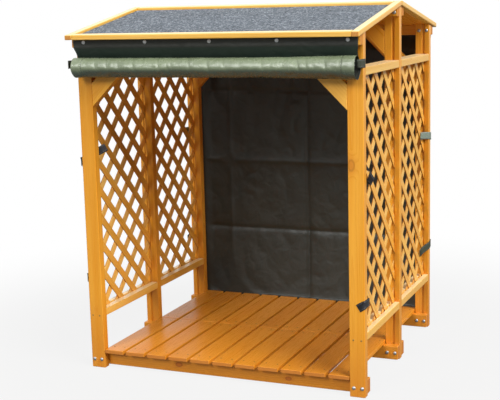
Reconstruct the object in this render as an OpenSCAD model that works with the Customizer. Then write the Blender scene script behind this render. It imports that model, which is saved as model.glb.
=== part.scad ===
// Log store: an open timber frame on three pairs of posts, with lattice sides, a slatted
// floor, a shallow felted roof, a cover rolled up along the front and a cover hung at the back.
// Millimetres. X runs across the front, Y from front to back and Z up.
// The origin lies on the ground under the middle of the store.

/* [Frame] */
// Width over the outer faces of the posts
store_w = 1358; // [1000:1:2000]
// Depth over the front and rear posts
store_d = 1168; // [900:1:1800]
// Width of a post across the store
post_w = 70; // [60:1:95]
// Thickness of posts, beams and braces from front to back
board_t = 38; // [28:1:45]
// Height of the roof's underside at the ridge
ridge_z = 1669; // [1500:1:2200]
// Pitch of the roof in degrees
pitch = 10; // [5:0.5:18]

/* [Beams and braces] */
// Height of an eaves beam where it lies on its posts
eaves_beam_h = 50; // [35:1:80]
// Height of a ridge beam where it lies on its posts
ridge_beam_h = 45; // [35:1:80]
// Width of a brace
brace_w = 77; // [40:1:90]
// Drop from the eaves to the foot of a front or rear brace
brace_drop = 321; // [250:1:400]
// Drop from the roof to the foot of a middle brace
ridge_brace_drop = 220; // [180:1:300]

/* [Floor] */
// Height of the foot beams' underside above the ground
foot_clear = 8; // [4:1:30]
// Height of a foot beam
foot_beam_h = 65; // [45:1:90]
// Width of a floor slat
slat_w = 96; // [60:1:130]
// Thickness of a floor slat
slat_t = 18; // [12:1:28]
// Smallest gap between floor slats
slat_gap = 15; // [8:1:30]
// Clearance between the floor panels and the posts beside them
slat_clear = 2; // [1:0.5:6]
// Gap between the front and rear floor panels
floor_split = 4; // [2:1:20]

/* [Lattice sides] */
// Height of a side rail
rail_h = 34; // [28:1:60]
// Height of the bottom rails' underside above the ground
rail_z = 250; // [150:1:350]
// Drop from the eaves to the top of the top rails
rail_drop = 143; // [80:1:220]
// Width of a lattice strip
strip_w = 34; // [20:1:50]
// Thickness of a lattice strip
strip_t = 5; // [3:0.5:8]
// Spacing of the lattice strips, square to their length
strip_pitch = 95; // [60:1:140]
// Shift of the strip pattern towards the rear on the right-hand side
right_strip_shift = 40; // [0:1:60]
// Depth of the grooves that house a lattice
groove_depth = 8; // [5:0.5:12]
// Distance from a post's outer face to the middle of its groove
groove_inset = 30; // [24:1:40]
// Clearance of a lattice in its grooves
lattice_clear = 0.3; // [0.1:0.1:0.8]

/* [Roof] */
// Overhang of the roof past the posts at each side
side_overhang = 9; // [4:1:60]
// Overhang of the roof past the front and rear posts
eaves_overhang = 84; // [60:1:160]
// Thickness of the boarded deck
deck_t = 8; // [6:1:16]
// Thickness of the roofing felt
felt_t = 2; // [1:0.5:4]
// Width of the trims round each slope
trim_w = 34; // [22:1:50]
// Height of the trims round each slope
trim_h = 22; // [20:1:40]

/* [Covers and straps] */
// Distance of the covers' side edges from the posts' outer faces
cover_inset = 9; // [4:1:40]
// Thickness of the cover sheet
cover_t = 2; // [1:0.5:3]
// Gap between the roof and the top edge of a cover
cover_gap = 6; // [2:1:15]
// Diameter of the rolled front cover
roll_d = 96; // [80:1:130]
// Diameter of the open core of the roll
core_d = 28; // [16:1:36]
// Turns of sheet in the roll
roll_turns = 7; // [4:1:8]
// Drop from the eaves beam to the middle of the roll
roll_drop = 88; // [70:1:120]
// Clearance between the roll and the front posts
roll_clear = 0.3; // [0.1:0.1:2]
// Height of the rear cover's hem above the ground
hem_z = 45; // [20:1:120]
// Drop over which the rear cover comes in from the beam to the posts
cover_fall = 80; // [40:1:160]
// Width of a strap
strap_w = 36; // [20:1:50]
// Thickness of a strap
strap_t = 2; // [1:0.5:4]
// Height of the rear posts' upper straps
strap_high_z = 1000; // [700:1:1150]
// Height of the upper strap on the right front post
right_strap_z = 953; // [700:1:1150]
// Height of the upper strap on the left front post
left_strap_z = 1046; // [700:1:1150]
// Height of the lower straps
strap_low_z = 410; // [340:1:600]
// Length of a strap's end beside a lattice or on the rear cover
strap_end = 20; // [12:1:22]
// Length of the lower strap's end on the front of the right front post
strap_front_end = 32; // [12:1:60]
// Length of a strap's free tail
strap_tail = 60; // [30:1:90]

/* [Hidden] */

// Which side, and which end, a piece belongs to
LEFT = -1;
RIGHT = 1;
FRONT = -1;
REAR = 1;

// Colours of the finishes
stained_wood = [0.87, 0.61, 0.22];
lattice_wood = [0.84, 0.56, 0.19];
grey_felt = [0.53, 0.56, 0.60];
green_sheet = [0.40, 0.45, 0.37];
dark_sheet = [0.15, 0.16, 0.13];
black_strap = [0.14, 0.15, 0.18];
green_strap = [0.25, 0.29, 0.24];

// Length by which a cut runs past the piece that it cuts
overrun = 10;

// Faces of the frame, measured from its middle
half_w = store_w / 2;
inner_x = half_w - post_w;
half_d = store_d / 2;
bay_outer_y = half_d - board_t;
bay_inner_y = board_t / 2;
beam_face_y = half_d + board_t;

// Height of the roof's underside over a line at distance y from the middle
function roof_z(y) = ridge_z - abs(y) * tan(pitch);
eaves_z = roof_z(half_d);
eaves_beam_z = eaves_z - eaves_beam_h;
ridge_beam_z = roof_z(bay_inner_y) - ridge_beam_h;

// Floor
floor_beam_top = foot_clear + foot_beam_h;
floor_w = 2 * (inner_x - slat_clear);
slat_count = floor((floor_w + slat_gap) / (slat_w + slat_gap));
slat_step = (floor_w - slat_w) / (slat_count - 1);

// Lattice panels and the grooves that house them
groove_x = half_w - groove_inset;
groove_w = 2 * (strip_t + lattice_clear);
seat = groove_depth - lattice_clear;
bottom_rail_top = rail_z + rail_h;
top_rail_top = eaves_z - rail_drop;
top_rail_z = top_rail_top - rail_h;
panel_low_z = bottom_rail_top - seat;
panel_high_z = top_rail_z + seat;

// Roof pieces, with heights measured upright above the sloping underside
roof_half_w = half_w + side_overhang;
roof_half_d = half_d + eaves_overhang;
deck_rise = deck_t / cos(pitch);
felt_rise = (deck_t + felt_t) / cos(pitch);
trim_rise = trim_h / cos(pitch);

// Covers
cover_half_w = half_w - cover_inset;
full_turn = 360;
points_per_turn = 20;
cover_top_z = roof_z(beam_face_y) - cover_gap;
roll_r = roll_d / 2;
roll_step = (roll_r - core_d / 2) / roll_turns;
roll_y = -half_d - roll_clear - roll_r;
roll_z = eaves_beam_z - roll_drop;
// The sheet leaves the beam's lower edge and meets the roll on a tangent
lip_y = -beam_face_y - roll_y;
lip_z = eaves_beam_z - roll_z;
tangent_angle = atan2(lip_z, lip_y) - acos(roll_r / norm([lip_y, lip_z]));

// A block between two opposite corners
module block(low, high) {
    translate(low) cube(high - low);
}

// A profile in Y and Z, drawn out across the store
module across(x0, x1) {
    translate([x0, 0, 0]) rotate([90, 0, 90]) linear_extrude(x1 - x0) children();
}

// A profile in X and Z, drawn out from front to back
module front_to_back(y0, y1) {
    translate([0, y1, 0]) rotate([90, 0, 0]) linear_extrude(y1 - y0) children();
}

// A piece drawn for the right-hand side, mirrored for the left
module on_side(side) {
    if (side == LEFT) mirror([1, 0, 0]) children();
    else children();
}

// A piece drawn for the rear, mirrored for the front
module at_end(end) {
    if (end == FRONT) mirror([0, 1, 0]) children();
    else children();
}

// The space below the roof, which trims the tops of the frame
module under_roof() {
    reach = beam_face_y + overrun;
    across(-half_w - overrun, half_w + overrun)
        polygon([[-reach, 0], [reach, 0], [reach, roof_z(reach)], [0, ridge_z], [-reach, roof_z(reach)]]);
}

// A post on the right-hand side between two faces, grooved where a lattice enters
module post(y0, y1, grooved_faces) {
    color(stained_wood)
    difference() {
        intersection() {
            block([inner_x, y0, 0], [half_w, y1, ridge_z]);
            under_roof();
        }
        for (y = grooved_faces)
            block([groove_x - groove_w / 2, y - groove_depth, -overrun],
                  [groove_x + groove_w / 2, y + groove_depth, ridge_z]);
    }
}

module outer_post(side, end) {
    on_side(side) at_end(end) post(bay_outer_y, half_d, [bay_outer_y]);
}

module middle_post(side) {
    on_side(side) post(-bay_inner_y, bay_inner_y, [-bay_inner_y, bay_inner_y]);
}

// A beam across the store under the roof, its top planed to the slope
module roof_beam(end, y0, y1, z0) {
    color(stained_wood)
    at_end(end)
    intersection() {
        block([-half_w, y0, z0], [half_w, y1, ridge_z]);
        under_roof();
    }
}

module eaves_beam(end) {
    roof_beam(end, half_d, beam_face_y, eaves_beam_z);
}

module ridge_beam(end) {
    roof_beam(end, bay_inner_y, bay_inner_y + board_t, ridge_beam_z);
}

// A brace at 45 degrees from a right-hand post up to the roof
module brace(y0, y1, foot_z) {
    rise = brace_w * sqrt(2);
    run = ridge_z - foot_z;
    color(stained_wood)
    intersection() {
        front_to_back(y0, y1)
            polygon([[inner_x, foot_z], [inner_x, foot_z + rise],
                     [inner_x - run, foot_z + rise + run], [inner_x - run, foot_z + run]]);
        under_roof();
    }
}

module outer_brace(side, end) {
    on_side(side) at_end(end) brace(bay_outer_y, half_d, eaves_z - brace_drop);
}

module middle_brace(side) {
    on_side(side) brace(-bay_inner_y, bay_inner_y, roof_z(bay_inner_y) - ridge_brace_drop);
}

// A foot beam that carries one edge of a floor panel
module foot_beam(end, y0) {
    color(stained_wood)
    at_end(end)
    block([-half_w, y0, foot_clear], [half_w, y0 + board_t, floor_beam_top]);
}

module outer_foot_beam(end) {
    foot_beam(end, bay_outer_y - board_t);
}

module middle_foot_beam(end) {
    foot_beam(end, bay_inner_y);
}

// One floor panel: slats laid from front to back across its two foot beams
module floor_slats(end) {
    color(stained_wood)
    at_end(end)
    for (i = [0 : slat_count - 1])
        translate([-floor_w / 2 + i * slat_step, floor_split / 2, floor_beam_top])
            cube([slat_w, half_d - floor_split / 2, slat_t]);
}

// Parallel strips of one lattice layer about the middle of a panel's pattern, rising or falling
// towards the rear. A strip too short at a corner to cross another is left out.
module lattice_layer(x, lean, half_y, half_z, shift) {
    length = norm([half_y, half_z]) + shift;
    last = ceil(length / strip_pitch);
    translate([x, 0, 0])
    rotate([lean * 45, 0, 0])
    for (i = [-last : last - 1]) {
        offset = (i + 1 / 2) * strip_pitch;
        corner = (half_y + half_z + lean * shift * sign(offset)) / sqrt(2);
        if (corner - abs(offset) + strip_w / 2 > strip_pitch / 2)
            translate([0, -length, offset - strip_w / 2]) cube([strip_t, 2 * length, strip_w]);
    }
}

// A lattice panel: two layers of strips, crossed and joined, with its edges in the grooves
module lattice(side, end) {
    middle_y = end * (bay_outer_y + bay_inner_y) / 2;
    middle_z = (panel_low_z + panel_high_z) / 2;
    half_y = (bay_outer_y - bay_inner_y) / 2 + seat;
    half_z = (panel_high_z - panel_low_z) / 2;
    shift = side == RIGHT ? right_strip_shift : 0;
    color(lattice_wood)
    translate([side * groove_x, middle_y, middle_z])
    intersection() {
        translate([0, shift, 0]) {
            lattice_layer(0, -1, half_y, half_z, shift);
            lattice_layer(-strip_t, 1, half_y, half_z, shift);
        }
        block([-strip_t, -half_y, -half_z], [strip_t, half_y, half_z]);
    }
}

// The two rails of one side at one height, between the posts, grooved along one face
module rails(side, z0, groove_z) {
    color(stained_wood)
    on_side(side)
    for (end = [FRONT, REAR])
        at_end(end)
        difference() {
            block([inner_x, bay_inner_y, z0], [half_w, bay_outer_y, z0 + rail_h]);
            block([groove_x - groove_w / 2, bay_inner_y - overrun, groove_z - groove_depth],
                  [groove_x + groove_w / 2, bay_outer_y + overrun, groove_z + groove_depth]);
        }
}

module top_rails(side) {
    rails(side, top_rail_z, top_rail_z);
}

module bottom_rails(side) {
    rails(side, rail_z, bottom_rail_top);
}

// A band of one roof slope between two distances from the ridge and two heights
module slope_band(end, x0, x1, y0, y1, low, high) {
    at_end(end)
    across(x0, x1)
        polygon([[y0, roof_z(y0) + low], [y1, roof_z(y1) + low],
                 [y1, roof_z(y1) + high], [y0, roof_z(y0) + high]]);
}

// A layer of one slope inside its trims
module slope_field(end, low, high) {
    x = roof_half_w - trim_w;
    slope_band(end, -x, x, trim_w, roof_half_d - trim_w, low, high);
}

module roof_deck(end) {
    color(stained_wood) slope_field(end, 0, deck_rise);
}

module roof_felt(end) {
    color(grey_felt) slope_field(end, deck_rise, felt_rise);
}

module eaves_trim(end) {
    x = roof_half_w - trim_w;
    color(stained_wood) slope_band(end, -x, x, roof_half_d - trim_w, roof_half_d, 0, trim_rise);
}

module ridge_trim(end) {
    x = roof_half_w - trim_w;
    color(stained_wood) slope_band(end, -x, x, 0, trim_w, 0, trim_rise);
}

// The trims up both rakes of one slope
module rake_trims(end) {
    color(stained_wood)
    for (side = [LEFT, RIGHT])
        on_side(side)
            slope_band(end, roof_half_w - trim_w, roof_half_w, 0, roof_half_d, 0, trim_rise);
}

// A point on the rolled sheet, a number of steps on from where it meets the roll
function roll_point(i, depth) =
    let (radius = roll_r - depth - roll_step * i / points_per_turn)
    let (angle = tangent_angle - full_turn * i / points_per_turn)
    [roll_y + radius * cos(angle), roll_z + radius * sin(angle)];

// The front cover: one sheet, fixed to the eaves beam and rolled up forwards against the posts
module front_cover() {
    last = roll_turns * points_per_turn;
    back_face = [
        [-beam_face_y, cover_top_z], [-beam_face_y, eaves_beam_z],
        for (i = [0 : last]) roll_point(i, 0)
    ];
    front_face = [
        for (i = [last : -1 : 0]) roll_point(i, cover_t),
        [-beam_face_y - cover_t, eaves_beam_z], [-beam_face_y - cover_t, cover_top_z]
    ];
    color(green_sheet)
    across(-cover_half_w, cover_half_w)
        polygon(concat(back_face, front_face));
}

// The rear cover: a sheet hung from the rear eaves beam and lying on the rear posts
module rear_cover() {
    inner_face = [[beam_face_y, cover_top_z], [beam_face_y, eaves_beam_z],
                  [half_d, eaves_beam_z - cover_fall], [half_d, hem_z]];
    outer_face = [for (i = [len(inner_face) - 1 : -1 : 0]) inner_face[i] + [cover_t, 0]];
    color(dark_sheet)
    across(-cover_half_w, cover_half_w)
        polygon(concat(inner_face, outer_face));
}

// A strap on the outer face of a right-hand post between two faces in Y, with an end folded onto
// each of those faces. An end of no length is left off.
module strap(y0, y1, z, front_end, rear_end) {
    ends = [if (front_end > 0) [front_end, y0 - strap_t], if (rear_end > 0) [rear_end, y1]];
    translate([0, 0, z - strap_w / 2])
    linear_extrude(strap_w) {
        translate([half_w, y0]) square([strap_t, y1 - y0]);
        for (end = ends)
            translate([half_w - end[0], end[1]]) square([end[0] + strap_t, strap_t]);
    }
}

// Straps on the front posts: a lower one round each, folded onto the front of the right-hand post
// only, an upper one on the right-hand post's outer face with a free tail, and one on the back of
// the left-hand post
module front_straps() {
    color(black_strap) {
        strap(-half_d, -bay_outer_y, strap_low_z, strap_front_end, strap_end);
        on_side(LEFT) strap(-half_d, -bay_outer_y, strap_low_z, 0, strap_end);
        block([half_w, -bay_outer_y - strap_end, right_strap_z - strap_w / 2],
              [half_w + strap_t, -bay_outer_y + strap_tail, right_strap_z + strap_w / 2]);
        block([-groove_x + groove_w / 2, -bay_outer_y, left_strap_z - strap_w / 2],
              [-inner_x, -bay_outer_y + strap_t, left_strap_z + strap_w / 2]);
    }
}

// Straps round the rear posts that hold the rear cover's edges
module rear_straps() {
    color(green_strap)
    for (side = [LEFT, RIGHT], z = [strap_low_z, strap_high_z])
        on_side(side) strap(bay_outer_y, half_d + cover_t, z, strap_end, strap_end);
}

outer_post(LEFT, FRONT);  // front_left_post
outer_post(RIGHT, FRONT);  // front_right_post
middle_post(LEFT);  // middle_left_post
middle_post(RIGHT);  // middle_right_post
outer_post(LEFT, REAR);  // rear_left_post
outer_post(RIGHT, REAR);  // rear_right_post
eaves_beam(FRONT);  // front_eaves_beam
eaves_beam(REAR);  // rear_eaves_beam
ridge_beam(FRONT);  // front_ridge_beam
ridge_beam(REAR);  // rear_ridge_beam
outer_brace(LEFT, FRONT);  // front_left_brace
outer_brace(RIGHT, FRONT);  // front_right_brace
middle_brace(LEFT);  // middle_left_brace
middle_brace(RIGHT);  // middle_right_brace
outer_brace(LEFT, REAR);  // rear_left_brace
outer_brace(RIGHT, REAR);  // rear_right_brace
outer_foot_beam(FRONT);  // front_foot_beam
middle_foot_beam(FRONT);  // middle_front_foot_beam
middle_foot_beam(REAR);  // middle_rear_foot_beam
outer_foot_beam(REAR);  // rear_foot_beam
floor_slats(FRONT);  // front_floor_slats
floor_slats(REAR);  // rear_floor_slats
lattice(LEFT, FRONT);  // left_front_lattice
lattice(LEFT, REAR);  // left_rear_lattice
lattice(RIGHT, FRONT);  // right_front_lattice
lattice(RIGHT, REAR);  // right_rear_lattice
top_rails(LEFT);  // left_top_rails
bottom_rails(LEFT);  // left_bottom_rails
top_rails(RIGHT);  // right_top_rails
bottom_rails(RIGHT);  // right_bottom_rails
roof_deck(FRONT);  // front_roof_deck
roof_deck(REAR);  // rear_roof_deck
roof_felt(FRONT);  // front_roof_felt
roof_felt(REAR);  // rear_roof_felt
eaves_trim(FRONT);  // front_eaves_trim
eaves_trim(REAR);  // rear_eaves_trim
ridge_trim(FRONT);  // front_ridge_trim
ridge_trim(REAR);  // rear_ridge_trim
rake_trims(FRONT);  // front_rake_trims
rake_trims(REAR);  // rear_rake_trims
front_cover();
rear_cover();
front_straps();
rear_straps();
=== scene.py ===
"""Finishes a timber log store: stained boards, lattice strips, felted roof, covers, straps and fixings."""

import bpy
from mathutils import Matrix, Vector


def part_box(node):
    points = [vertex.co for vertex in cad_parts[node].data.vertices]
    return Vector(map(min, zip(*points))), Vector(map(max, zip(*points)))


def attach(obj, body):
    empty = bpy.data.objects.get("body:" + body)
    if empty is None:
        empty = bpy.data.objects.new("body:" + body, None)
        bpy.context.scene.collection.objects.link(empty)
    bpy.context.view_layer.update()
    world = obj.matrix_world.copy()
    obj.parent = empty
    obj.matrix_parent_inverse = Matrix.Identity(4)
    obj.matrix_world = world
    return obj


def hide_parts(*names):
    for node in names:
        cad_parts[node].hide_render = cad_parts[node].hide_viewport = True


bl_info = {
    "name": "Log Store Finish",
    "version": (1, 0, 0),
    "blender": (4, 5, 0),
    "location": "View3D > Sidebar > Log Store",
    "description": "Stains the timber, lays the lattice and the roof, and hangs the covers of a log store",
    "category": "Object",
}

import math
import random

import bmesh
import bpy
from bpy.props import FloatProperty, FloatVectorProperty, IntProperty, PointerProperty
from mathutils import Color, Matrix, Vector, noise

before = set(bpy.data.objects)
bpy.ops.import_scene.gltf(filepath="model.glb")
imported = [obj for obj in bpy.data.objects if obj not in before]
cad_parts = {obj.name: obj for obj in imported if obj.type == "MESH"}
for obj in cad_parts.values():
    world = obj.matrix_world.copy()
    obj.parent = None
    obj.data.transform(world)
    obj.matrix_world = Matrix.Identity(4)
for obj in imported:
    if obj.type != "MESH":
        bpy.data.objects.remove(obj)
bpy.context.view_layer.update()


def low(node):
    """Lowest corner of a node of the frame."""
    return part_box(node)[0]


def high(node):
    """Highest corner of a node of the frame."""
    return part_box(node)[1]


# Faces of the timber frame, in metres
HALF_W = high("front_right_post").x
INNER_X = low("front_right_post").x
FRONT_Y = low("front_right_post").y
FRONT_BACK_Y = high("front_right_post").y
REAR_Y = high("rear_right_post").y
REAR_FRONT_Y = low("rear_right_post").y
EAVES_FRONT_Y = low("front_eaves_beam").y
EAVES_REAR_Y = high("rear_eaves_beam").y
EAVES_Z = low("front_eaves_beam").z
RIDGE_FRONT_Y = low("front_ridge_beam").y
RIDGE_REAR_Y = high("rear_ridge_beam").y

SIDES = {"left": -1, "right": 1}
ENDS = {"front": -1, "rear": 1}
FOOT_BEAMS = ("front_foot_beam", "middle_front_foot_beam", "middle_rear_foot_beam", "rear_foot_beam")

# How far off a beam or post washers and straps lie on a cover, in thicknesses of its sheet
WASHER_SEAT = 1.6

# Distances within which points are merged and cuts are made, in metres
WELD_REACH = 0.00002
POLE_REACH = 0.00001
SAW_REACH = 0.000001

# Bevels: faces that count as one, edges that count as sharp, and steps of a rounded edge
FLAT_WITHIN = math.radians(1)
SHARP_FROM = math.radians(30)
EASED_STEPS = 3

# Directions of the grain
ACROSS = Vector((1, 0, 0))
BACK = Vector((0, 1, 0))
UP = Vector((0, 0, 1))


def shade(red, green, blue):
    """A display colour, given in steps of 255, as a property's default."""
    return (red / 255, green / 255, blue / 255)


def linear(colour):
    """A display colour as the shader's linear colour."""
    return tuple(Color(colour).from_srgb_to_scene_linear())


def colour_property(name, description, red, green, blue):
    """A colour swatch of the sidebar."""
    return FloatVectorProperty(name=name, description=description, default=shade(red, green, blue),
                               size=3, min=0, max=1, subtype="COLOR_GAMMA")


def length_property(name, description, metres):
    """A length of the sidebar."""
    return FloatProperty(name=name, description=description, default=metres, precision=4,
                         subtype="DISTANCE", unit="LENGTH")


def share_property(name, description, value):
    """A share from 0 to 1 of the sidebar."""
    return FloatProperty(name=name, description=description, default=value, min=0, max=1, subtype="FACTOR")


def angle_property(name, description, radians):
    """An angle of the sidebar."""
    return FloatProperty(name=name, description=description, default=radians, subtype="ANGLE", unit="ROTATION")


def strength_property(name, description, value):
    """The strength of a lamp of the sidebar."""
    return FloatProperty(name=name, description=description, default=value, min=0)


def direction_property(name, description, x, y, z):
    """A direction of the sidebar."""
    return FloatVectorProperty(name=name, description=description, default=(x, y, z), subtype="DIRECTION")


class TimberSettings(bpy.types.PropertyGroup):
    """Boards of the frame and floor."""

    honey: colour_property("Honey", "Stain on the middle tone of the wood", 222, 148, 36)
    pale: colour_property("Pale", "Stain on the palest streaks", 231, 164, 54)
    amber: colour_property("Amber", "Stain on the late wood and round knots", 194, 110, 22)
    knot: colour_property("Knot", "Wood inside a knot", 172, 96, 32)
    knot_rim: colour_property("Knot rim", "Dark ring round a knot", 112, 56, 18)
    end_grain: colour_property("End grain", "Sawn ends, which soak up more stain", 176, 104, 38)
    ring_width: length_property("Ring width", "Distance between growth rings", 0.0064)
    eased_edge: length_property("Eased edge", "Radius planed on the edges of the boards", 0.003)
    slat_edge: length_property("Slat edge", "Radius planed on the edges of the floor slats", 0.002)
    slat_width: length_property("Slat width", "Width of a floor slat", 0.096)
    slat_pitch: length_property("Slat pitch", "Spacing of the floor slats", 0.111)
    # Darkening of the wood towards the ground: its colour, how far it darkens, and the height it reaches
    ground_darkening: colour_property("Ground_darkening", "Wood that has drawn up damp from the ground", 178, 92, 22)
    ground_darkening_share: share_property("Damp share", "How far damp darkens the wood at the ground", 0.45)
    ground_darkening_height: length_property("Damp height", "Height to which damp rises in the wood", 0.42)
    roughness: share_property("Roughness", "Roughness of the stained surface", 0.30)


class TrimSettings(bpy.types.PropertyGroup):
    """Paler boards: the trims of the roof and the rails of the sides."""

    honey: colour_property("Honey", "Stain on the middle tone of the wood", 223, 169, 64)
    pale: colour_property("Pale", "Stain on the palest streaks", 236, 191, 99)
    amber: colour_property("Amber", "Stain on the late wood and round knots", 206, 130, 42)
    # Painted highlight: this colour lightens the trims' faces that turn upward, as if they were strongly lit
    # from above
    top_highlight: colour_property("Top_highlight", "Faded stain on faces that lie open to the sky", 246, 226, 182)
    roughness: share_property("Roughness", "Roughness of the stained surface", 0.32)
    edge: length_property("Edge", "Radius on the trims", 0.004)


class LatticeSettings(bpy.types.PropertyGroup):
    """Crossed strips of the sides."""

    strip_width: length_property("Strip width", "Width of a strip", 0.034)
    strip_pitch: length_property("Strip pitch", "Spacing of strips, square to their length", 0.095)
    right_shift: length_property("Right shift", "Shift of the pattern to the rear on the right", 0.040)
    strip_edge: length_property("Strip edge", "Radius on the edges of a strip", 0.0008)
    nail_radius: length_property("Nail radius", "Radius of a nail head where strips cross", 0.0024)
    honey: colour_property("Honey", "Stain on the falling strips", 232, 164, 58)
    pale: colour_property("Pale", "Stain on the falling strips' palest streaks", 241, 186, 84)
    amber: colour_property("Amber", "Stain on the falling strips' late wood", 202, 122, 34)
    # Painted shade: this colour darkens the strips' side faces, which turn away from the light
    edge: colour_property("Edge", "Sawn edges of all strips, which soak up more stain", 150, 80, 24)
    roughness: share_property("Roughness", "Roughness of the falling strips", 0.30)


class RisingStripPaintedLightSettings(bpy.types.PropertyGroup):
    """Rising strips of the sides, stained paler as painted light, so that the right side's inner layer looks as
    brightly lit as its outer one.
    """

    honey: colour_property("Honey", "Stain on the rising strips", 240, 180, 80)
    pale: colour_property("Pale", "Stain on the rising strips' palest streaks", 247, 202, 112)
    amber: colour_property("Amber", "Stain on the rising strips' late wood", 214, 140, 48)
    roughness: share_property("Roughness", "Roughness of the rising strips", 0.30)


class RoofSettings(bpy.types.PropertyGroup):
    """Deck boards, felt and trims."""

    pitch: angle_property("Pitch", "Slope of the roof", math.radians(10))
    board_width: length_property("Board width", "Width of a deck board", 0.094)
    board_gap: length_property("Board gap", "Open joint between deck boards", 0.0012)
    board_edge: length_property("Board edge", "Bevel along a deck board", 0.003)
    granule: length_property("Granule", "Size of the felt's mineral granules", 0.0042)
    clump: length_property("Clump", "Size of clumps of like granules", 0.0085)
    felt_pale: colour_property("Pale granules", "Palest mineral granules", 156, 163, 170)
    felt_grey: colour_property("Grey granules", "Middle mineral granules", 89, 96, 104)
    felt_dark: colour_property("Dark granules", "Darkest mineral granules", 36, 41, 49)


class CoverSettings(bpy.types.PropertyGroup):
    """Sheets at the front and the back."""

    green: colour_property("Green face", "Grey-green face of the sheet", 117, 129, 101)
    dark: colour_property("Dark face", "Near-black face of the sheet", 40, 43, 37)
    # Painted shade: the sheet's faces that turn downward are darkened towards this colour
    underside_shade: colour_property("Underside_shade", "Painted_shade on the underside of the sheet", 34, 58, 50)
    thread: colour_property("Thread", "Stitching along the hems", 52, 58, 48)
    sheet: length_property("Sheet", "Thickness of the sheet", 0.0012)
    roll_diameter: length_property("Roll diameter", "Diameter of the rolled front cover", 0.096)
    core_diameter: length_property("Core diameter", "Diameter of the open core of the roll", 0.028)
    turns: IntProperty(name="Turns", description="Turns of sheet in the roll", default=7, min=2, max=12)
    roll_gap: length_property("Roll gap", "Gap between the roll and the posts", 0.0003)
    roll_drop: length_property("Roll drop", "Drop from the eaves beam to the roll's axis", 0.088)
    flare: length_property("Flare", "How far the roll widens towards its right end", 0.006)
    waist: length_property("Waist", "How far the roll narrows at its middle", 0.0005)
    ragged: length_property("Ragged", "Unevenness of the turns at the roll's ends", 0.004)
    set_back: length_property("Set back", "How far the roll stops short at its left end", 0.011)
    recess: length_property("Recess", "How far the inner turns stop short of the outer one", 0.009)
    flat_depth: length_property("Flat depth", "How far the roll's underside is pressed flat", 0.007)
    flat_side: angle_property("Flat side", "Half the angle of the flattened underside", math.radians(48))
    flat_towards: angle_property("Flat towards", "Direction of the flattened underside", math.radians(227))
    # Painted shade: share of the underside shade colour on faces that turn downward
    underside_shade_share: share_property("Underside_shade_share", "How far painted_shade covers the underside of the sheet", 0.8)
    tuck: length_property("Tuck", "How far the sheet's side edges draw in below the beam", 0.006)
    slack: length_property("Slack", "Waves of the sheet between the beam and the roll", 0.003)
    hem: length_property("Hem", "Width of the hems", 0.055)
    pack_width: length_property("Pack width", "Spacing of the upright fold creases", 0.447)
    pack_height: length_property("Pack height", "Spacing of the level fold creases", 0.380)
    crease: length_property("Crease", "Height of a fold crease", 0.008)
    weave: length_property("Weave", "Spacing of the woven tapes under the coating", 0.0026)
    roughness: share_property("Roughness", "Roughness of the coating", 0.23)


class StrapSettings(bpy.types.PropertyGroup):
    """Straps on the posts."""

    black: colour_property("Black webbing", "Straps of the front posts", 30, 31, 38)
    green: colour_property("Green webbing", "Lower straps of the rear posts", 62, 68, 50)
    # The pale colour is painted sheen: a lighter copy of the green webbing for the upper rear straps, as if
    # they catch the light; their lower roughness is their own
    pale: colour_property("Pale webbing", "Silvery upper straps of the rear posts", 150, 164, 148)
    tab: colour_property("Tab webbing", "Tabs at the ends of the roll", 52, 58, 40)
    stitch: colour_property("Stitching", "Thread of the straps", 150, 152, 148)
    width: length_property("Width", "Width of the webbing", 0.036)
    black_roughness: share_property("Black roughness", "Roughness of the black webbing", 0.62)
    green_roughness: share_property("Green roughness", "Roughness of the green webbing", 0.62)
    sheen_roughness: share_property("Pale roughness", "Roughness of the coated pale webbing", 0.26)
    thickness: length_property("Thickness", "Thickness of the webbing", 0.0018)
    bend: length_property("Bend", "Radius of a strap's bend round a post's edge", 0.004)


class FixingSettings(bpy.types.PropertyGroup):
    """Bolts, nuts, washers and screws."""

    zinc: colour_property("Zinc", "Plated steel of the washers and nails", 200, 203, 206)
    bolt: colour_property("Bolt", "Dull plated steel of the bolts", 168, 170, 172)
    brass: colour_property("Yellow plating", "Yellow-plated steel of the screws", 158, 126, 76)
    bolt_radius: length_property("Bolt radius", "Radius of a domed bolt head", 0.0085)
    bolt_height: length_property("Bolt height", "Height of a domed bolt head", 0.0048)
    near_edge: length_property("Near bolt", "Distance of the nearer bolt from the post's outer face", 0.014)
    far_edge: length_property("Far bolt", "Distance of the further bolt from the post's outer face", 0.052)
    washer_radius: length_property("Washer radius", "Radius of a cover washer", 0.0085)
    washer_pitch: length_property("Washer pitch", "Spacing of the cover washers", 0.311)
    screw_radius: length_property("Screw radius", "Radius of a screw head", 0.0042)


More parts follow.
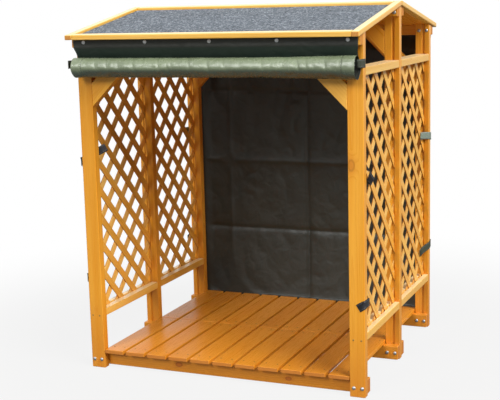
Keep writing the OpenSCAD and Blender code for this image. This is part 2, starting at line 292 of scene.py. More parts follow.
class StageSettings(bpy.types.PropertyGroup):
    """Floor, light and camera."""

    floor: colour_property("Floor", "Pale floor", 128, 128, 126)
    ambient: share_property("Ambient", "Light from all round", 0.12)
    key: strength_property("Key", "Strength of the soft key light", 4.3)
    key_spread: angle_property("Key spread", "Apparent size of the key light", math.radians(36))
    key_from: direction_property("Key from", "Direction towards the key light", 0.68, -0.275, 0.68)
    fill: strength_property("Fill", "Strength of the soft fill light", 1.8)
    fill_spread: angle_property("Fill spread", "Apparent size of the fill light", math.radians(24))
    fill_from: direction_property("Fill from", "Direction towards the fill light", -0.22, -0.84, 0.50)
    top: strength_property("Top", "Strength of the soft light above the front", 0.3)
    top_spread: angle_property("Top spread", "Apparent size of the light above the front", math.radians(36))
    top_from: direction_property("Top from", "Direction towards the light above the front", -0.08, -0.22, 0.97)
    white_near: share_property("White near", "Share of white in the floor's look beside the store", 0.86)
    eye: FloatVectorProperty(name="Eye", description="Place of the camera", default=(2.0192, -4.9799, 1.6921),
                             precision=4, subtype="TRANSLATION", unit="LENGTH")
    heading: angle_property("Heading", "Turn of the camera to the left of straight on", 0.400)
    dip: angle_property("Dip", "Tilt of the camera below level", 0.175)
    roll: angle_property("Roll", "Turn of the camera about its own axis", -0.025)
    lens: FloatProperty(name="Lens", description="Focal length", default=79.85, subtype="DISTANCE_CAMERA")


class LogStoreSettings(bpy.types.PropertyGroup):
    """All sizes and colours of the store's finish."""

    timber: PointerProperty(type=TimberSettings)
    trim: PointerProperty(type=TrimSettings)
    lattice: PointerProperty(type=LatticeSettings)
    rising: PointerProperty(type=RisingStripPaintedLightSettings)
    roof: PointerProperty(type=RoofSettings)
    cover: PointerProperty(type=CoverSettings)
    strap: PointerProperty(type=StrapSettings)
    fixing: PointerProperty(type=FixingSettings)
    stage: PointerProperty(type=StageSettings)


class Term:
    """A shader socket in an expression: arithmetic on it adds Math or Vector Math nodes."""

    def __init__(self, shading, socket):
        self.shading = shading
        self.socket = socket

    def _join(self, operation, first, second=0.0, output=0):
        kinds = [t.socket.type for t in (first, second) if isinstance(t, Term)]
        vector = "VECTOR" in kinds or "RGBA" in kinds
        kind = "ShaderNodeVectorMath" if vector else "ShaderNodeMath"
        return self.shading.node(kind, {"operation": operation}, {0: first, 1: second}, output)

    def __add__(self, other):
        return self._join("ADD", self, other)

    def __sub__(self, other):
        return self._join("SUBTRACT", self, other)

    def __rsub__(self, other):
        return self._join("SUBTRACT", other, self)

    def __mul__(self, other):
        return self._join("MULTIPLY", self, other)

    def __truediv__(self, other):
        return self._join("DIVIDE", self, other)

    def fraction(self):
        """What is left after whole steps."""
        return self._join("FRACT", self)

    def whole(self):
        """The whole step below."""
        return self._join("FLOOR", self)

    def sine(self):
        return self._join("SINE", self)

    def size(self):
        """A value without its sign."""
        return self._join("ABSOLUTE", self)

    def least(self, other):
        return self._join("MINIMUM", self, other)

    def most(self, other):
        return self._join("MAXIMUM", self, other)

    def length(self):
        """Length of a vector."""
        return self._join("LENGTH", self, (0, 0, 0), "Value")

    def dot(self, other):
        return self._join("DOT_PRODUCT", self, other, "Value")

    def axis(self, letter):
        """One coordinate of a vector."""
        return self.shading.node("ShaderNodeSeparateXYZ", {}, {0: self}, letter)

    def rise(self, start, end):
        """0 before start, 1 after end, and a smooth rise between."""
        return self.shading.node("ShaderNodeMapRange", {"interpolation_type": "SMOOTHSTEP"},
                                 {"Value": self, "From Min": start, "From Max": end})


class Shading:
    """A node tree that expressions are written into."""

    def __init__(self, tree):
        self.tree = tree
        self.tree.nodes.clear()

    def node(self, kind, settings=None, sockets=None, output=0):
        """Adds one node: its settings, then the values or links of its sockets. Gives one output."""
        made = self.tree.nodes.new(kind)
        for name, value in (settings or {}).items():
            setattr(made, name, value)
        for name, value in (sockets or {}).items():
            self.feed(made.inputs[name], value)
        return Term(self, made.outputs[output])

    def feed(self, socket, value):
        """Links a term to a socket, or sets the socket's own value."""
        if isinstance(value, Term):
            self.tree.links.new(value.socket, socket)
        elif socket.type == "RGBA":
            socket.default_value = (*value[:3], 1.0)
        elif socket.type in ("VECTOR", "ROTATION") and isinstance(value, (int, float)):
            socket.default_value = (value, value, value)
        else:
            socket.default_value = value

    def noise(self, where, scale=1.0, detail=2.0, rough=0.5, output="Fac"):
        """Smooth noise from 0 to 1."""
        return self.node("ShaderNodeTexNoise", {},
                         {"Vector": where, "Scale": scale, "Detail": detail, "Roughness": rough}, output)

    def scatter(self, where, output="Value"):
        """A random value for each place."""
        return self.node("ShaderNodeTexWhiteNoise", {}, {"Vector": where}, output)

    def blend(self, share, first, second, how="MIX"):
        """Mixes two colours."""
        return self.node("ShaderNodeMix", {"data_type": "RGBA", "blend_type": how},
                         {0: share, 6: first, 7: second}, 2)


class Finish(Shading):
    """A procedural material with one Principled shader."""

    def __init__(self, name, constants=None):
        self.material = bpy.data.materials.new(name)
        self.material.use_nodes = True
        super().__init__(self.material.node_tree)
        self.shader = self.tree.nodes.new("ShaderNodeBsdfPrincipled")
        output = self.tree.nodes.new("ShaderNodeOutputMaterial")
        self.tree.links.new(self.shader.outputs[0], output.inputs["Surface"])
        for socket, value in (constants or {}).items():
            self.feed(self.shader.inputs[socket], value)

    def place(self):
        """Object coordinates, which are metres in the frame."""
        return self.node("ShaderNodeTexCoord", {}, {}, "Object")

    def cloth(self):
        """A sheet's own coordinates, which are metres on the flat cut."""
        return self.node("ShaderNodeUVMap", {"uv_map": "cut"}, {})

    def finish(self, colour, roughness, height, depth, strength=1.0):
        """Connects colour, roughness and bump, and gives the material."""
        self.feed(self.shader.inputs["Base Color"], colour)
        self.feed(self.shader.inputs["Roughness"], roughness)
        bump = self.node("ShaderNodeBump", {}, {"Height": height, "Distance": depth, "Strength": strength})
        self.feed(self.shader.inputs["Normal"], bump)
        return self.material


def settings():
    """The store's settings."""
    return bpy.context.scene.log_store


def paint(piece, *materials):
    """Gives a piece its materials. Those of a new piece aren't cleared, because that resets its faces."""
    if len(piece.data.materials):
        piece.data.materials.clear()
    for material in materials:
        piece.data.materials.append(material)


def new_piece(name, shape, *materials, smooth=False):
    """A piece of the store from a bmesh, riding on the frame."""
    for face in shape.faces:
        face.smooth = smooth
    mesh = bpy.data.meshes.new(name)
    shape.to_mesh(mesh)
    shape.free()
    piece = bpy.data.objects.new(name, mesh)
    bpy.context.scene.collection.objects.link(piece)
    paint(piece, *materials)
    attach(piece, "root")
    return piece


def ease_edges(piece, radius, merge=False):
    """Rounds the edges of a piece. A node of the frame has its loose triangles merged first."""
    if merge:
        weld = piece.modifiers.new("Weld", "WELD")
        weld.merge_threshold = WELD_REACH
        flat = piece.modifiers.new("Flat faces", "DECIMATE")
        flat.decimate_type = "DISSOLVE"
        flat.angle_limit = FLAT_WITHIN
    eased = piece.modifiers.new("Eased edges", "BEVEL")
    eased.width = radius
    eased.segments = EASED_STEPS
    eased.limit_method = "ANGLE"
    eased.angle_limit = SHARP_FROM


def add_block(shape, lower, upper, place=Matrix.Identity(4)):
    """A box between two corners, then moved."""
    size = Vector(upper) - Vector(lower)
    middle = (Vector(upper) + Vector(lower)) / 2
    matrix = place @ Matrix.Translation(middle) @ Matrix.Diagonal((*size, 1))
    return bmesh.ops.create_cube(shape, size=1, matrix=matrix)["verts"]


def in_order(parts):
    """The different parts of a mesh in the order that they come, so that each run makes the same mesh."""
    return list(dict.fromkeys(parts))


def add_turned(shape, profile, place, facing, steps):
    """A turned head from a profile of (radius, height), set at a place and facing a way."""
    verts = [shape.verts.new((radius, 0, height)) for radius, height in profile]
    edges = [shape.edges.new(pair) for pair in zip(verts, verts[1:])]
    bmesh.ops.spin(shape, geom=verts + edges, cent=(0, 0, 0), axis=(0, 0, 1), angle=math.tau,
                   steps=steps, use_merge=True)
    turned = [v for v in shape.verts if not v.tag]
    bmesh.ops.remove_doubles(shape, verts=turned, dist=POLE_REACH)
    turned = [v for v in shape.verts if not v.tag]
    turn = UP.rotation_difference(Vector(facing)).to_matrix().to_4x4()
    bmesh.ops.transform(shape, matrix=Matrix.Translation(place) @ turn, verts=turned)
    bmesh.ops.recalc_face_normals(shape, faces=in_order(f for v in turned for f in v.link_faces))
    for vert in turned:
        vert.tag = True


def new_heads(name, shape, material):
    """A piece of turned heads. Its edges and faces are sorted, because a spin adds them in no fixed order."""
    shape.verts.index_update()
    for parts in (shape.edges, shape.faces):
        row = sorted(parts, key=lambda part: sorted(vert.index for vert in part.verts))
        ranks = {part: rank for rank, part in enumerate(row)}
        parts.sort(key=ranks.get)
    return new_piece(name, shape, material, smooth=True)


# How much each finish bends light
WOOD_IOR = 1.42
FELT_IOR = 1.45
CLOTH_IOR = 1.45
COATING_IOR = 1.7

# Depth of each finish's relief, in metres, and its strength
GRAIN_RELIEF = (0.0006, 0.6)
GRANULE_RELIEF = (0.0005, 0.15)
RIB_RELIEF = (0.0006, 0.8)
PLATING_RELIEF = (0.0004, 0.4)
CRUMPLE_DEPTH = 0.003

# Where a board was sawn from: distance of the pith from its middle, and shift along the trunk, in metres
PITH_DISTANCE = (0.05, 0.10)
TRUNK_SHIFT = (1, 20)
# How far like boards of one piece lie apart in the trunk, across it and along it, and how they are spread
BOARDS_ACROSS, BOARDS_ALONG = 0.09, 23
SPREAD_X, SPREAD_Y = 7.31, 3.17
# How far like boards and strips differ in tone, and how far single boards do
BOARDS_TONE, BOARD_TONE = 0.16, 0.06

# Room in the trunk for one knot, size of knots and the least of it, and how far the grain draws knots out
KNOT_ROOM = Vector((0.085, 0.085, 0.42))
KNOT_SIZE, KNOT_LEAST = 0.036, 0.01
KNOT_LENGTH, SINGLE_KNOT_LENGTH = 0.7, 0.38
# Share of rooms without a knot, on most boards and on clear ones
KNOTLESS, CLEAR = 0.74, 0.99
CLEAR_BOARDS = ("rear_eaves_beam",)
# Boards whose knots are faint, and how faint
FAINT_KNOTS = ("front_right_post",)
FAINT = 0.4

# Marks of the wood, with painted shade on the strips' edges and a painted highlight on the trims' upward faces:
# waves per metre across the grain and along it, shares of their colours, and their roughness
GRAIN_WAVES = {"drift": (6, 6, 0.8), "ring": (40, 40, 3), "streak": (30, 30, 0.9), "cloud": (7, 7, 1.6),
               "fibre": (420, 420, 9)}
GRAIN_COLOUR = {"cloud": 0.20, "late": 0.15, "fibre": 0.14, "halo": 0.25, "knot": 0.75, "rim": 0.65,
                "edge": 0.7, "top_highlight": 0.65, "sawn": 0.6, "sawn_late": 0.3}
GRAIN_ROUGHNESS = {"fibre": 0.16, "late": -0.05, "sawn": 0.25, "least": -0.06}
GRAIN_HEIGHT = {"fibre": 0.5, "late": 0.35, "knot": -0.5}
# How far the rings wander, how far a knot bends them and how ragged they are
RING_DRIFT, RING_BEND, RING_RAGGED = 0.03, 1.6, 0.5
# How far streaks carry the darkening near the ground upward, in metres
GROUND_DARKENING_STREAK = 0.08


def grain_place(finish, along, centre, chance, boards, attribute):
    """Places on a board in the trunk that it was sawn from, and a value that differs for each like board."""
    place = finish.place()
    own = chance.random()
    local = place
    if boards:
        direction, start, step = boards
        count = ((place.dot(direction) - start) / step).whole()
        local = place - finish.node("ShaderNodeVectorMath", {"operation": "SCALE"},
                                    {0: direction, "Scale": (count + 0.5) * step + start})
        centre = centre - direction * centre.dot(direction)
        own = finish.scatter(finish.node("ShaderNodeCombineXYZ", {}, {0: count, 1: own}))
    if attribute:
        own = finish.node("ShaderNodeAttribute", {"attribute_name": attribute}, {}, "Fac")
    turn = along.rotation_difference(UP)
    angle = chance.uniform(0, math.tau)
    pith = Vector((math.cos(angle), math.sin(angle), 0)) * chance.uniform(*PITH_DISTANCE)
    pith.z = chance.uniform(*TRUNK_SHIFT)
    where = finish.node("ShaderNodeMapping", {},
                        {"Vector": local, "Rotation": turn.to_euler(), "Location": pith - turn @ centre})
    if boards or attribute:
        where = where + finish.node("ShaderNodeCombineXYZ", {}, {
            0: (own * SPREAD_X).fraction() * BOARDS_ACROSS,
            1: (own * SPREAD_Y).fraction() * BOARDS_ACROSS,
            2: own * BOARDS_ALONG,
        })
    return where, own


def knot_marks(finish, where, along, knots, knotless):
    """Knots of a board: the wood inside them, their dark rims, and the halos of bent grain."""
    nearest = finish.node("ShaderNodeTexVoronoi", {}, {"Vector": where / KNOT_ROOM, "Scale": 1.0}, "Position")
    radius = (finish.scatter(nearest) - knotless).most(KNOT_LEAST) * KNOT_SIZE
    reach = ((where - nearest * KNOT_ROOM) * (1, 1, KNOT_LENGTH)).length() / radius
    drawn_out = Vector((1, 1, 1)) - Vector(abs(c) for c in along) * SINGLE_KNOT_LENGTH
    place = finish.place()
    for point, size in knots:
        reach = reach.least(((place - point) * drawn_out).length() / size)
    rim = reach.rise(0.5, 0.88) * (1 - reach.rise(0.94, 1.2))
    return 1 - reach.rise(0.78, 0.98), rim, 1 - reach.rise(0.9, 2.8)


def stained_timber(name, along, centre, boards=None, knots=(), tones=None, attribute=None):
    """Stained spruce: rings about a pith beside the board, fibres along it, knots and darker sawn ends.

    boards gives the direction, start and step of like boards side by side, each with its own grain.
    knots gives places and radii of single knots. attribute names a value that differs for each strip.
    """
    timber = settings().timber
    tones = tones or timber
    finish = Finish(name, {"IOR": WOOD_IOR})
    where, own = grain_place(finish, along, centre, random.Random(name), boards, attribute)
    knotless = CLEAR if name.startswith(CLEAR_BOARDS) else KNOTLESS
    knot, rim, halo = knot_marks(finish, where, along, knots, knotless)

    drift = finish.noise(where * GRAIN_WAVES["drift"], detail=1.0, output="Color")
    trunk = (where + (drift - 0.5) * RING_DRIFT) * (1, 1, 0)
    rings = trunk.length() / timber.ring_width + halo * RING_BEND
    ring = (rings + finish.noise(where * GRAIN_WAVES["ring"], detail=1.0) * RING_RAGGED).fraction()
    late = ring.rise(0.35, 0.9) * (1 - ring.rise(0.92, 1.0))
    streak = finish.noise(where * GRAIN_WAVES["streak"], detail=3.0).rise(0.3, 0.72)
    cloud = finish.noise(where * GRAIN_WAVES["cloud"], detail=2.0).rise(0.35, 0.7)
    fibre = finish.noise(where * GRAIN_WAVES["fibre"], detail=2.0)
    normal = finish.node("ShaderNodeNewGeometry", {}, {}, "Normal")
    sawn = normal.dot(along).size().rise(0.8, 0.95)
    # Darker towards the ground, with a ragged upper edge from the streaks
    ground_darkening = 1 - (finish.place().axis("Z") + (streak - 0.5) * GROUND_DARKENING_STREAK).rise(0.0, timber.ground_darkening_height)

    share = GRAIN_COLOUR
    faint = FAINT if name.startswith(FAINT_KNOTS) else 1.0
    spread = BOARDS_TONE if boards or attribute else BOARD_TONE
    tone = dict.fromkeys(range(3), own * spread + (1 - spread / 2))
    pale, honey, amber = (linear(c) for c in (tones.pale, tones.honey, tones.amber))
    colour = finish.blend(streak, pale, honey)
    colour = finish.blend(cloud * share["cloud"], colour, amber)
    colour = finish.blend(late * share["late"], colour, amber)
    colour = finish.blend(fibre.rise(0.52, 0.8) * share["fibre"], colour, amber)
    colour = finish.blend(1.0, colour, finish.node("ShaderNodeCombineXYZ", {}, tone), "MULTIPLY")
    colour = finish.blend(halo * share["halo"], colour, amber)
    colour = finish.blend(knot * (share["knot"] * faint), colour, linear(timber.knot))
    colour = finish.blend(rim * (share["rim"] * faint), colour, linear(timber.knot_rim))
    colour = finish.blend(ground_darkening * timber.ground_darkening_share, colour, linear(timber.ground_darkening))
    # Painted shade on the lattice strips' side faces
    if attribute:
        edge = 1 - normal.dot(ACROSS).size().rise(0.3, 0.7)
        colour = finish.blend(edge * share["edge"], colour, linear(settings().lattice.edge))
    # Painted highlight on the trims' upward faces
    if tones == settings().trim:
        painted_top_light = normal.dot(UP).rise(0.8, 0.95)
        colour = finish.blend(painted_top_light * share["top_highlight"], colour, linear(tones.top_highlight))
    colour = finish.blend(sawn * (late * share["sawn_late"] + share["sawn"]), colour, linear(timber.end_grain))

    rough = GRAIN_ROUGHNESS
    roughness = fibre * rough["fibre"] + late * rough["late"] + sawn * rough["sawn"]
    high_on = GRAIN_HEIGHT
    height = fibre * high_on["fibre"] + late * high_on["late"] + knot * high_on["knot"]
    return finish.finish(colour, roughness + (tones.roughness + rough["least"]), height, *GRAIN_RELIEF)


# What a granule's tone comes from: itself, its clump and its patch of felt
GRANULE_TONE, CLUMP_TONE, PATCH_TONE = 0.45, 0.45, 0.15
PATCH_WAVES = 9
BITUMEN_SHARE = 0.4
GRANULE_ROUGHNESS, GRANULE_DULLNESS = 0.75, 0.2


def mineral_felt(name):
    """Roofing felt: mineral granules of three greys pressed into bitumen."""
    roof = settings().roof
    finish = Finish(name, {"IOR": FELT_IOR})
    place = finish.place()
    granules = {"Vector": place, "Scale": 1 / roof.granule}
    clumps = {"Vector": place, "Scale": 1 / roof.clump}
    cell = finish.node("ShaderNodeTexVoronoi", {}, granules, "Color")
    reach = finish.node("ShaderNodeTexVoronoi", {}, granules, "Distance")
    pick = finish.scatter(cell)
    clump = finish.node("ShaderNodeTexVoronoi", {}, clumps, "Color").axis("X")
    patch = finish.noise(place * PATCH_WAVES, detail=3.0)
    tone = pick * GRANULE_TONE + clump * CLUMP_TONE + patch * PATCH_TONE
    colour = finish.blend(tone.rise(0.1, 0.55), linear(roof.felt_dark), linear(roof.felt_grey))
    colour = finish.blend(tone.rise(0.5, 0.95), colour, linear(roof.felt_pale))
    colour = finish.blend(reach.rise(0.5, 0.9) * BITUMEN_SHARE, colour, linear(roof.felt_dark))
    height = (1 - reach) + pick * 0.6
    return finish.finish(colour, pick * GRANULE_DULLNESS + GRANULE_ROUGHNESS, height, *GRANULE_RELIEF)


# Marks of the coated sheet: waves per metre, shares of their colours, and heights
SHEET_WAVES = {"cloud": 5.0, "crumple": 34.0, "scuff": 90.0, "bend": 9.0, "facet": 17.0}
SHEET_COLOUR = {"cloud": 0.5, "scuff": 0.25, "crumple": 0.2, "seam": 0.5}
SHEET_HEIGHT = {"crumple": 0.9, "facet": 0.7, "weave": 0.05, "stitch": 0.4, "seam": 0.5}
SHEET_ROUGHNESS = {"crumple": 0.22, "scuff": 0.12, "least": -0.08}
# How far facets bend, length of a stitch and edges of a thread, in metres
FACET_BEND = 0.05
STITCH_LENGTH = 0.009
THREAD = (0.0008, 0.0016)


def coated_sheet(name, colour_of, width, length, crumpled, ior=CLOTH_IOR, dull=0.0):
    """Coated woven sheet: faint tapes under the coating, scuffed creases, stitched hems, and painted shade on
    the faces that turn downward.
    """
    cover = settings().cover
    finish = Finish(name, {"IOR": ior})
    cut = finish.cloth()
    place = finish.place()
    across, along = cut.axis("X"), cut.axis("Y")
    tape = math.tau / cover.weave
    weave = (across * tape).sine() * (along * tape).sine()
    cloud = finish.noise(place, SHEET_WAVES["cloud"], 3.0)
    crumple = finish.noise(place, SHEET_WAVES["crumple"], 4.0, 0.6)
    scuff = finish.noise(place, SHEET_WAVES["scuff"], 3.0).rise(0.6, 0.78)
    bent = place + (finish.noise(place, SHEET_WAVES["bend"], 2.0, output="Color") - 0.5) * FACET_BEND
    facet = finish.node("ShaderNodeTexVoronoi", {"feature": "DISTANCE_TO_EDGE"},
                        {"Vector": bent, "Scale": SHEET_WAVES["facet"]}, "Distance").rise(0.0, 0.3)
    side = (across.size() - (width / 2 - cover.hem)).size()
    end = (along - (length - cover.hem)).size()
    seam = side.least(end)
    stitches = ((across + along) * (math.tau / STITCH_LENGTH)).sine().rise(-0.3, 0.1)
    stitch = (1 - seam.rise(*THREAD)) * stitches
    facing = finish.node("ShaderNodeNewGeometry", {}, {}, "Normal")

    share, high_on, rough = SHEET_COLOUR, SHEET_HEIGHT, SHEET_ROUGHNESS
    base = linear(colour_of)
    worn = tuple(min(1.0, channel * 1.5 + 0.012) for channel in base)
    deep = tuple(channel * 0.62 for channel in base)
    colour = finish.blend(cloud.rise(0.35, 0.7) * share["cloud"], base, deep)
    colour = finish.blend(scuff * share["scuff"], colour, worn)
    colour = finish.blend(crumple.rise(0.55, 0.75) * share["crumple"], colour, worn)
    colour = finish.blend((1 - seam.rise(0.0005, 0.004)) * share["seam"], colour, deep)
    colour = finish.blend(stitch, colour, linear(cover.thread))
    # Painted shade on the faces that turn downward
    colour = finish.blend(facing.dot(-UP).rise(0.12, 0.75) * cover.underside_shade_share, colour, linear(cover.underside_shade))
    roughness = crumple * rough["crumple"] + scuff * rough["scuff"] + (cover.roughness + dull + rough["least"])
    height = crumple * high_on["crumple"] + facet * high_on["facet"] + weave * high_on["weave"]
    height = height + stitch * high_on["stitch"] - (1 - seam.rise(0.001, 0.004)) * high_on["seam"]
    return finish.finish(colour, roughness, height, CRUMPLE_DEPTH, crumpled)


# Weave of the straps: spacing of ribs, twill and stitches, then places across the strap, in metres
RIB, TWILL, STRAP_STITCH = 0.0022, 0.0036, 0.005
STITCH_ROW = 0.0125
STRAP_THREAD = (0.0005, 0.0011)
STRAP_EDGE = (0.0145, 0.0165)
FUZZ_WAVES = 420.0
STRAP_HEIGHT = {"rib": 0.4, "twill": 0.2, "stitch": 0.5}


def webbing(name, colour_of, roughness):
    """Woven strap with ribs across it and a stitched box."""
    finish = Finish(name, {"IOR": CLOTH_IOR})
    cut = finish.cloth()
    across, along = cut.axis("X"), cut.axis("Y")
    rib = (along * (math.tau / RIB)).sine()
    twill = ((across + along) * (math.tau / TWILL)).sine()
    fuzz = finish.noise(finish.place(), FUZZ_WAVES, 2.0)
    edge = across.size().rise(*STRAP_EDGE)
    row = (across.size() - STITCH_ROW).size()
    stitch = (1 - row.rise(*STRAP_THREAD)) * (along * (math.tau / STRAP_STITCH)).sine().rise(-0.2, 0.2)
    base = linear(colour_of)
    pale = tuple(channel * 1.7 + 0.01 for channel in base)
    deep = tuple(channel * 0.5 for channel in base)
    colour = finish.blend(rib.rise(-0.6, 0.8) * 0.5, deep, base)
    colour = finish.blend(fuzz.rise(0.5, 0.75) * 0.5, colour, pale)
    colour = finish.blend(stitch * 0.55, colour, linear(settings().strap.stitch))
    colour = finish.blend(edge * 0.4, colour, deep)
    height = rib * STRAP_HEIGHT["rib"] + twill * STRAP_HEIGHT["twill"] + stitch * STRAP_HEIGHT["stitch"]
    return finish.finish(colour, fuzz * 0.2 + (roughness - 0.1), height, *RIB_RELIEF)


# Waves per metre of the plating's spangle and haze, and its roughness where it is clear and where it is dull
SPANGLE_WAVES, HAZE_WAVES = 260.0, 130.0
PLATING_ROUGHNESS, PLATING_DULLNESS = 0.34, 0.3


def plated_steel(name, colour_of):
    """Plated steel with a faint spangle and dull patches."""
    finish = Finish(name, {"Metallic": 1.0})
    place = finish.place()
    spangle = finish.node("ShaderNodeTexVoronoi", {}, {"Vector": place, "Scale": SPANGLE_WAVES}, "Distance")
    haze = finish.noise(place, HAZE_WAVES, 3.0)
    base = linear(colour_of)
    dull = tuple(channel * 0.5 for channel in base)
    colour = finish.blend(haze.rise(0.42, 0.75) * 0.6, base, dull)
    colour = finish.blend(spangle * 0.25, colour, dull)
    return finish.finish(colour, haze * PLATING_DULLNESS + PLATING_ROUGHNESS, haze, *PLATING_RELIEF)


def grain_of(node):
    """Direction of a board's grain."""
    pitch = settings().roof.pitch
    if "brace" in node:
        return Vector((-1 if "right" in node else 1, 0, 1)).normalized()
    if "rake" in node:
        return Vector((0, math.cos(pitch), math.sin(pitch) * (1 if "front" in node else -1)))
    if "post" in node:
        return UP
    if "rails" in node or "slats" in node:
        return BACK
    return ACROSS


def tones_of(node):
    """Stain of a board. Trims and rails are paler wood, and one brace takes the lattice's paler stain as
    painted light, lifting it out of the roll's shade.
    """
    if "trim" in node or "rails" in node:
        return settings().trim
    # Painted light: the front right brace takes the lattice's paler stain, lifting it out of the roll's shade
    return settings().lattice if node == "front_right_brace" else settings().timber


# Single knots that show on a board's face: place, and half width across the grain
FRAME_KNOTS = {
    "front_right_post": [((0.6235, FRONT_Y, 1.016), 0.016)],
    "front_foot_beam": [((-0.235, low("front_foot_beam").y, 0.044), 0.011),
                        ((0.310, low("front_foot_beam").y, 0.036), 0.009)],
}


class LOGSTORE_OT_timber(bpy.types.Operator):
    """Stain the posts, beams, braces, rails and trims and ease their edges"""

    bl_idname = "log_store.timber"
    bl_label = "Stain the Timber"

    def execute(self, context):
        timber, trim = settings().timber, settings().trim
        pairs = {"rails": BACK, "rake_trims": ACROSS}
        kinds = ("post", "beam", "brace", "rails", "trim")
        for node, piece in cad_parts.items():
            if not any(kind in node for kind in kinds):
                continue
            lower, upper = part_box(node)
            pair = next((way for kind, way in pairs.items() if kind in node), None)
            reach = max(upper.length, lower.length)
            boards = pair and (pair, -reach, reach)
            knots = [(Vector(point), size) for point, size in FRAME_KNOTS.get(node, ())]
            wood = stained_timber(node + "_stain", grain_of(node), (lower + upper) / 2, boards, knots,
                                  tones_of(node))
            paint(piece, wood)
            ease_edges(piece, trim.edge if "trim" in node else timber.eased_edge, merge=True)
        return {"FINISHED"}


def side_by_side(node, width):
    """Count and spacing of like boards that fill a node from its left to its right."""
    across = high(node).x - low(node).x
    count = round(across / width)
    return count, across / count


class LOGSTORE_OT_floor(bpy.types.Operator):
    """Stain the slats of both floor panels, each with its own grain"""

    bl_idname = "log_store.floor"
    bl_label = "Stain the Floor"

    def execute(self, context):
        timber = settings().timber
        for end in ENDS:
            node = f"{end}_floor_slats"
            lower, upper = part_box(node)
            step = side_by_side(node, timber.slat_pitch)[1]
            wood = stained_timber(node + "_stain", BACK, (lower + upper) / 2, (ACROSS, lower.x, step))
            paint(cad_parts[node], wood)
            ease_edges(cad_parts[node], timber.slat_edge, merge=True)
        return {"FINISHED"}


# How far a strip lies off its row, and how far nails stay from a panel's edge, in metres
STRIP_SLIP = 0.0012
NAIL_MARGIN = 0.014
NAIL_STEPS = 8


def strip_rows(half_y, half_z, lean, shift):
    """Places of one layer's strips about the middle of its pattern, square to their length."""
    lattice = settings().lattice
    reach = math.hypot(half_y, half_z) + shift
    last = math.ceil(reach / lattice.strip_pitch)
    for i in range(-last, last):
        row = (i + 0.5) * lattice.strip_pitch
        corner = (half_y + half_z + lean * shift * math.copysign(1, row)) / math.sqrt(2)
        if corner - abs(row) + lattice.strip_width / 2 > lattice.strip_pitch / 2:
            yield row, reach


def cut_to_panel(shape, verts, lower, upper):
    """Saws a strip off at the four edges of its panel and closes the sawn ends."""
    for way in (BACK, UP):
        for edge, facing in ((lower, -way), (upper, way)):
            faces = in_order(f for v in verts if v.is_valid for f in v.link_faces)
            edges = in_order(e for f in faces for e in f.edges)
            verts = in_order(v for f in faces for v in f.verts)
            cut = bmesh.ops.bisect_plane(shape, geom=verts + edges + faces, dist=SAW_REACH,
                                         plane_co=edge, plane_no=facing, clear_outer=True)
            rim = [g for g in cut["geom_cut"] if isinstance(g, bmesh.types.BMEdge)]
            kept = [v for v in verts if v.is_valid]
            kept += [g for g in cut["geom_cut"] if isinstance(g, bmesh.types.BMVert)]
            if rim:
                bmesh.ops.holes_fill(shape, edges=rim)
            verts = kept
    return [v for v in verts if v.is_valid]


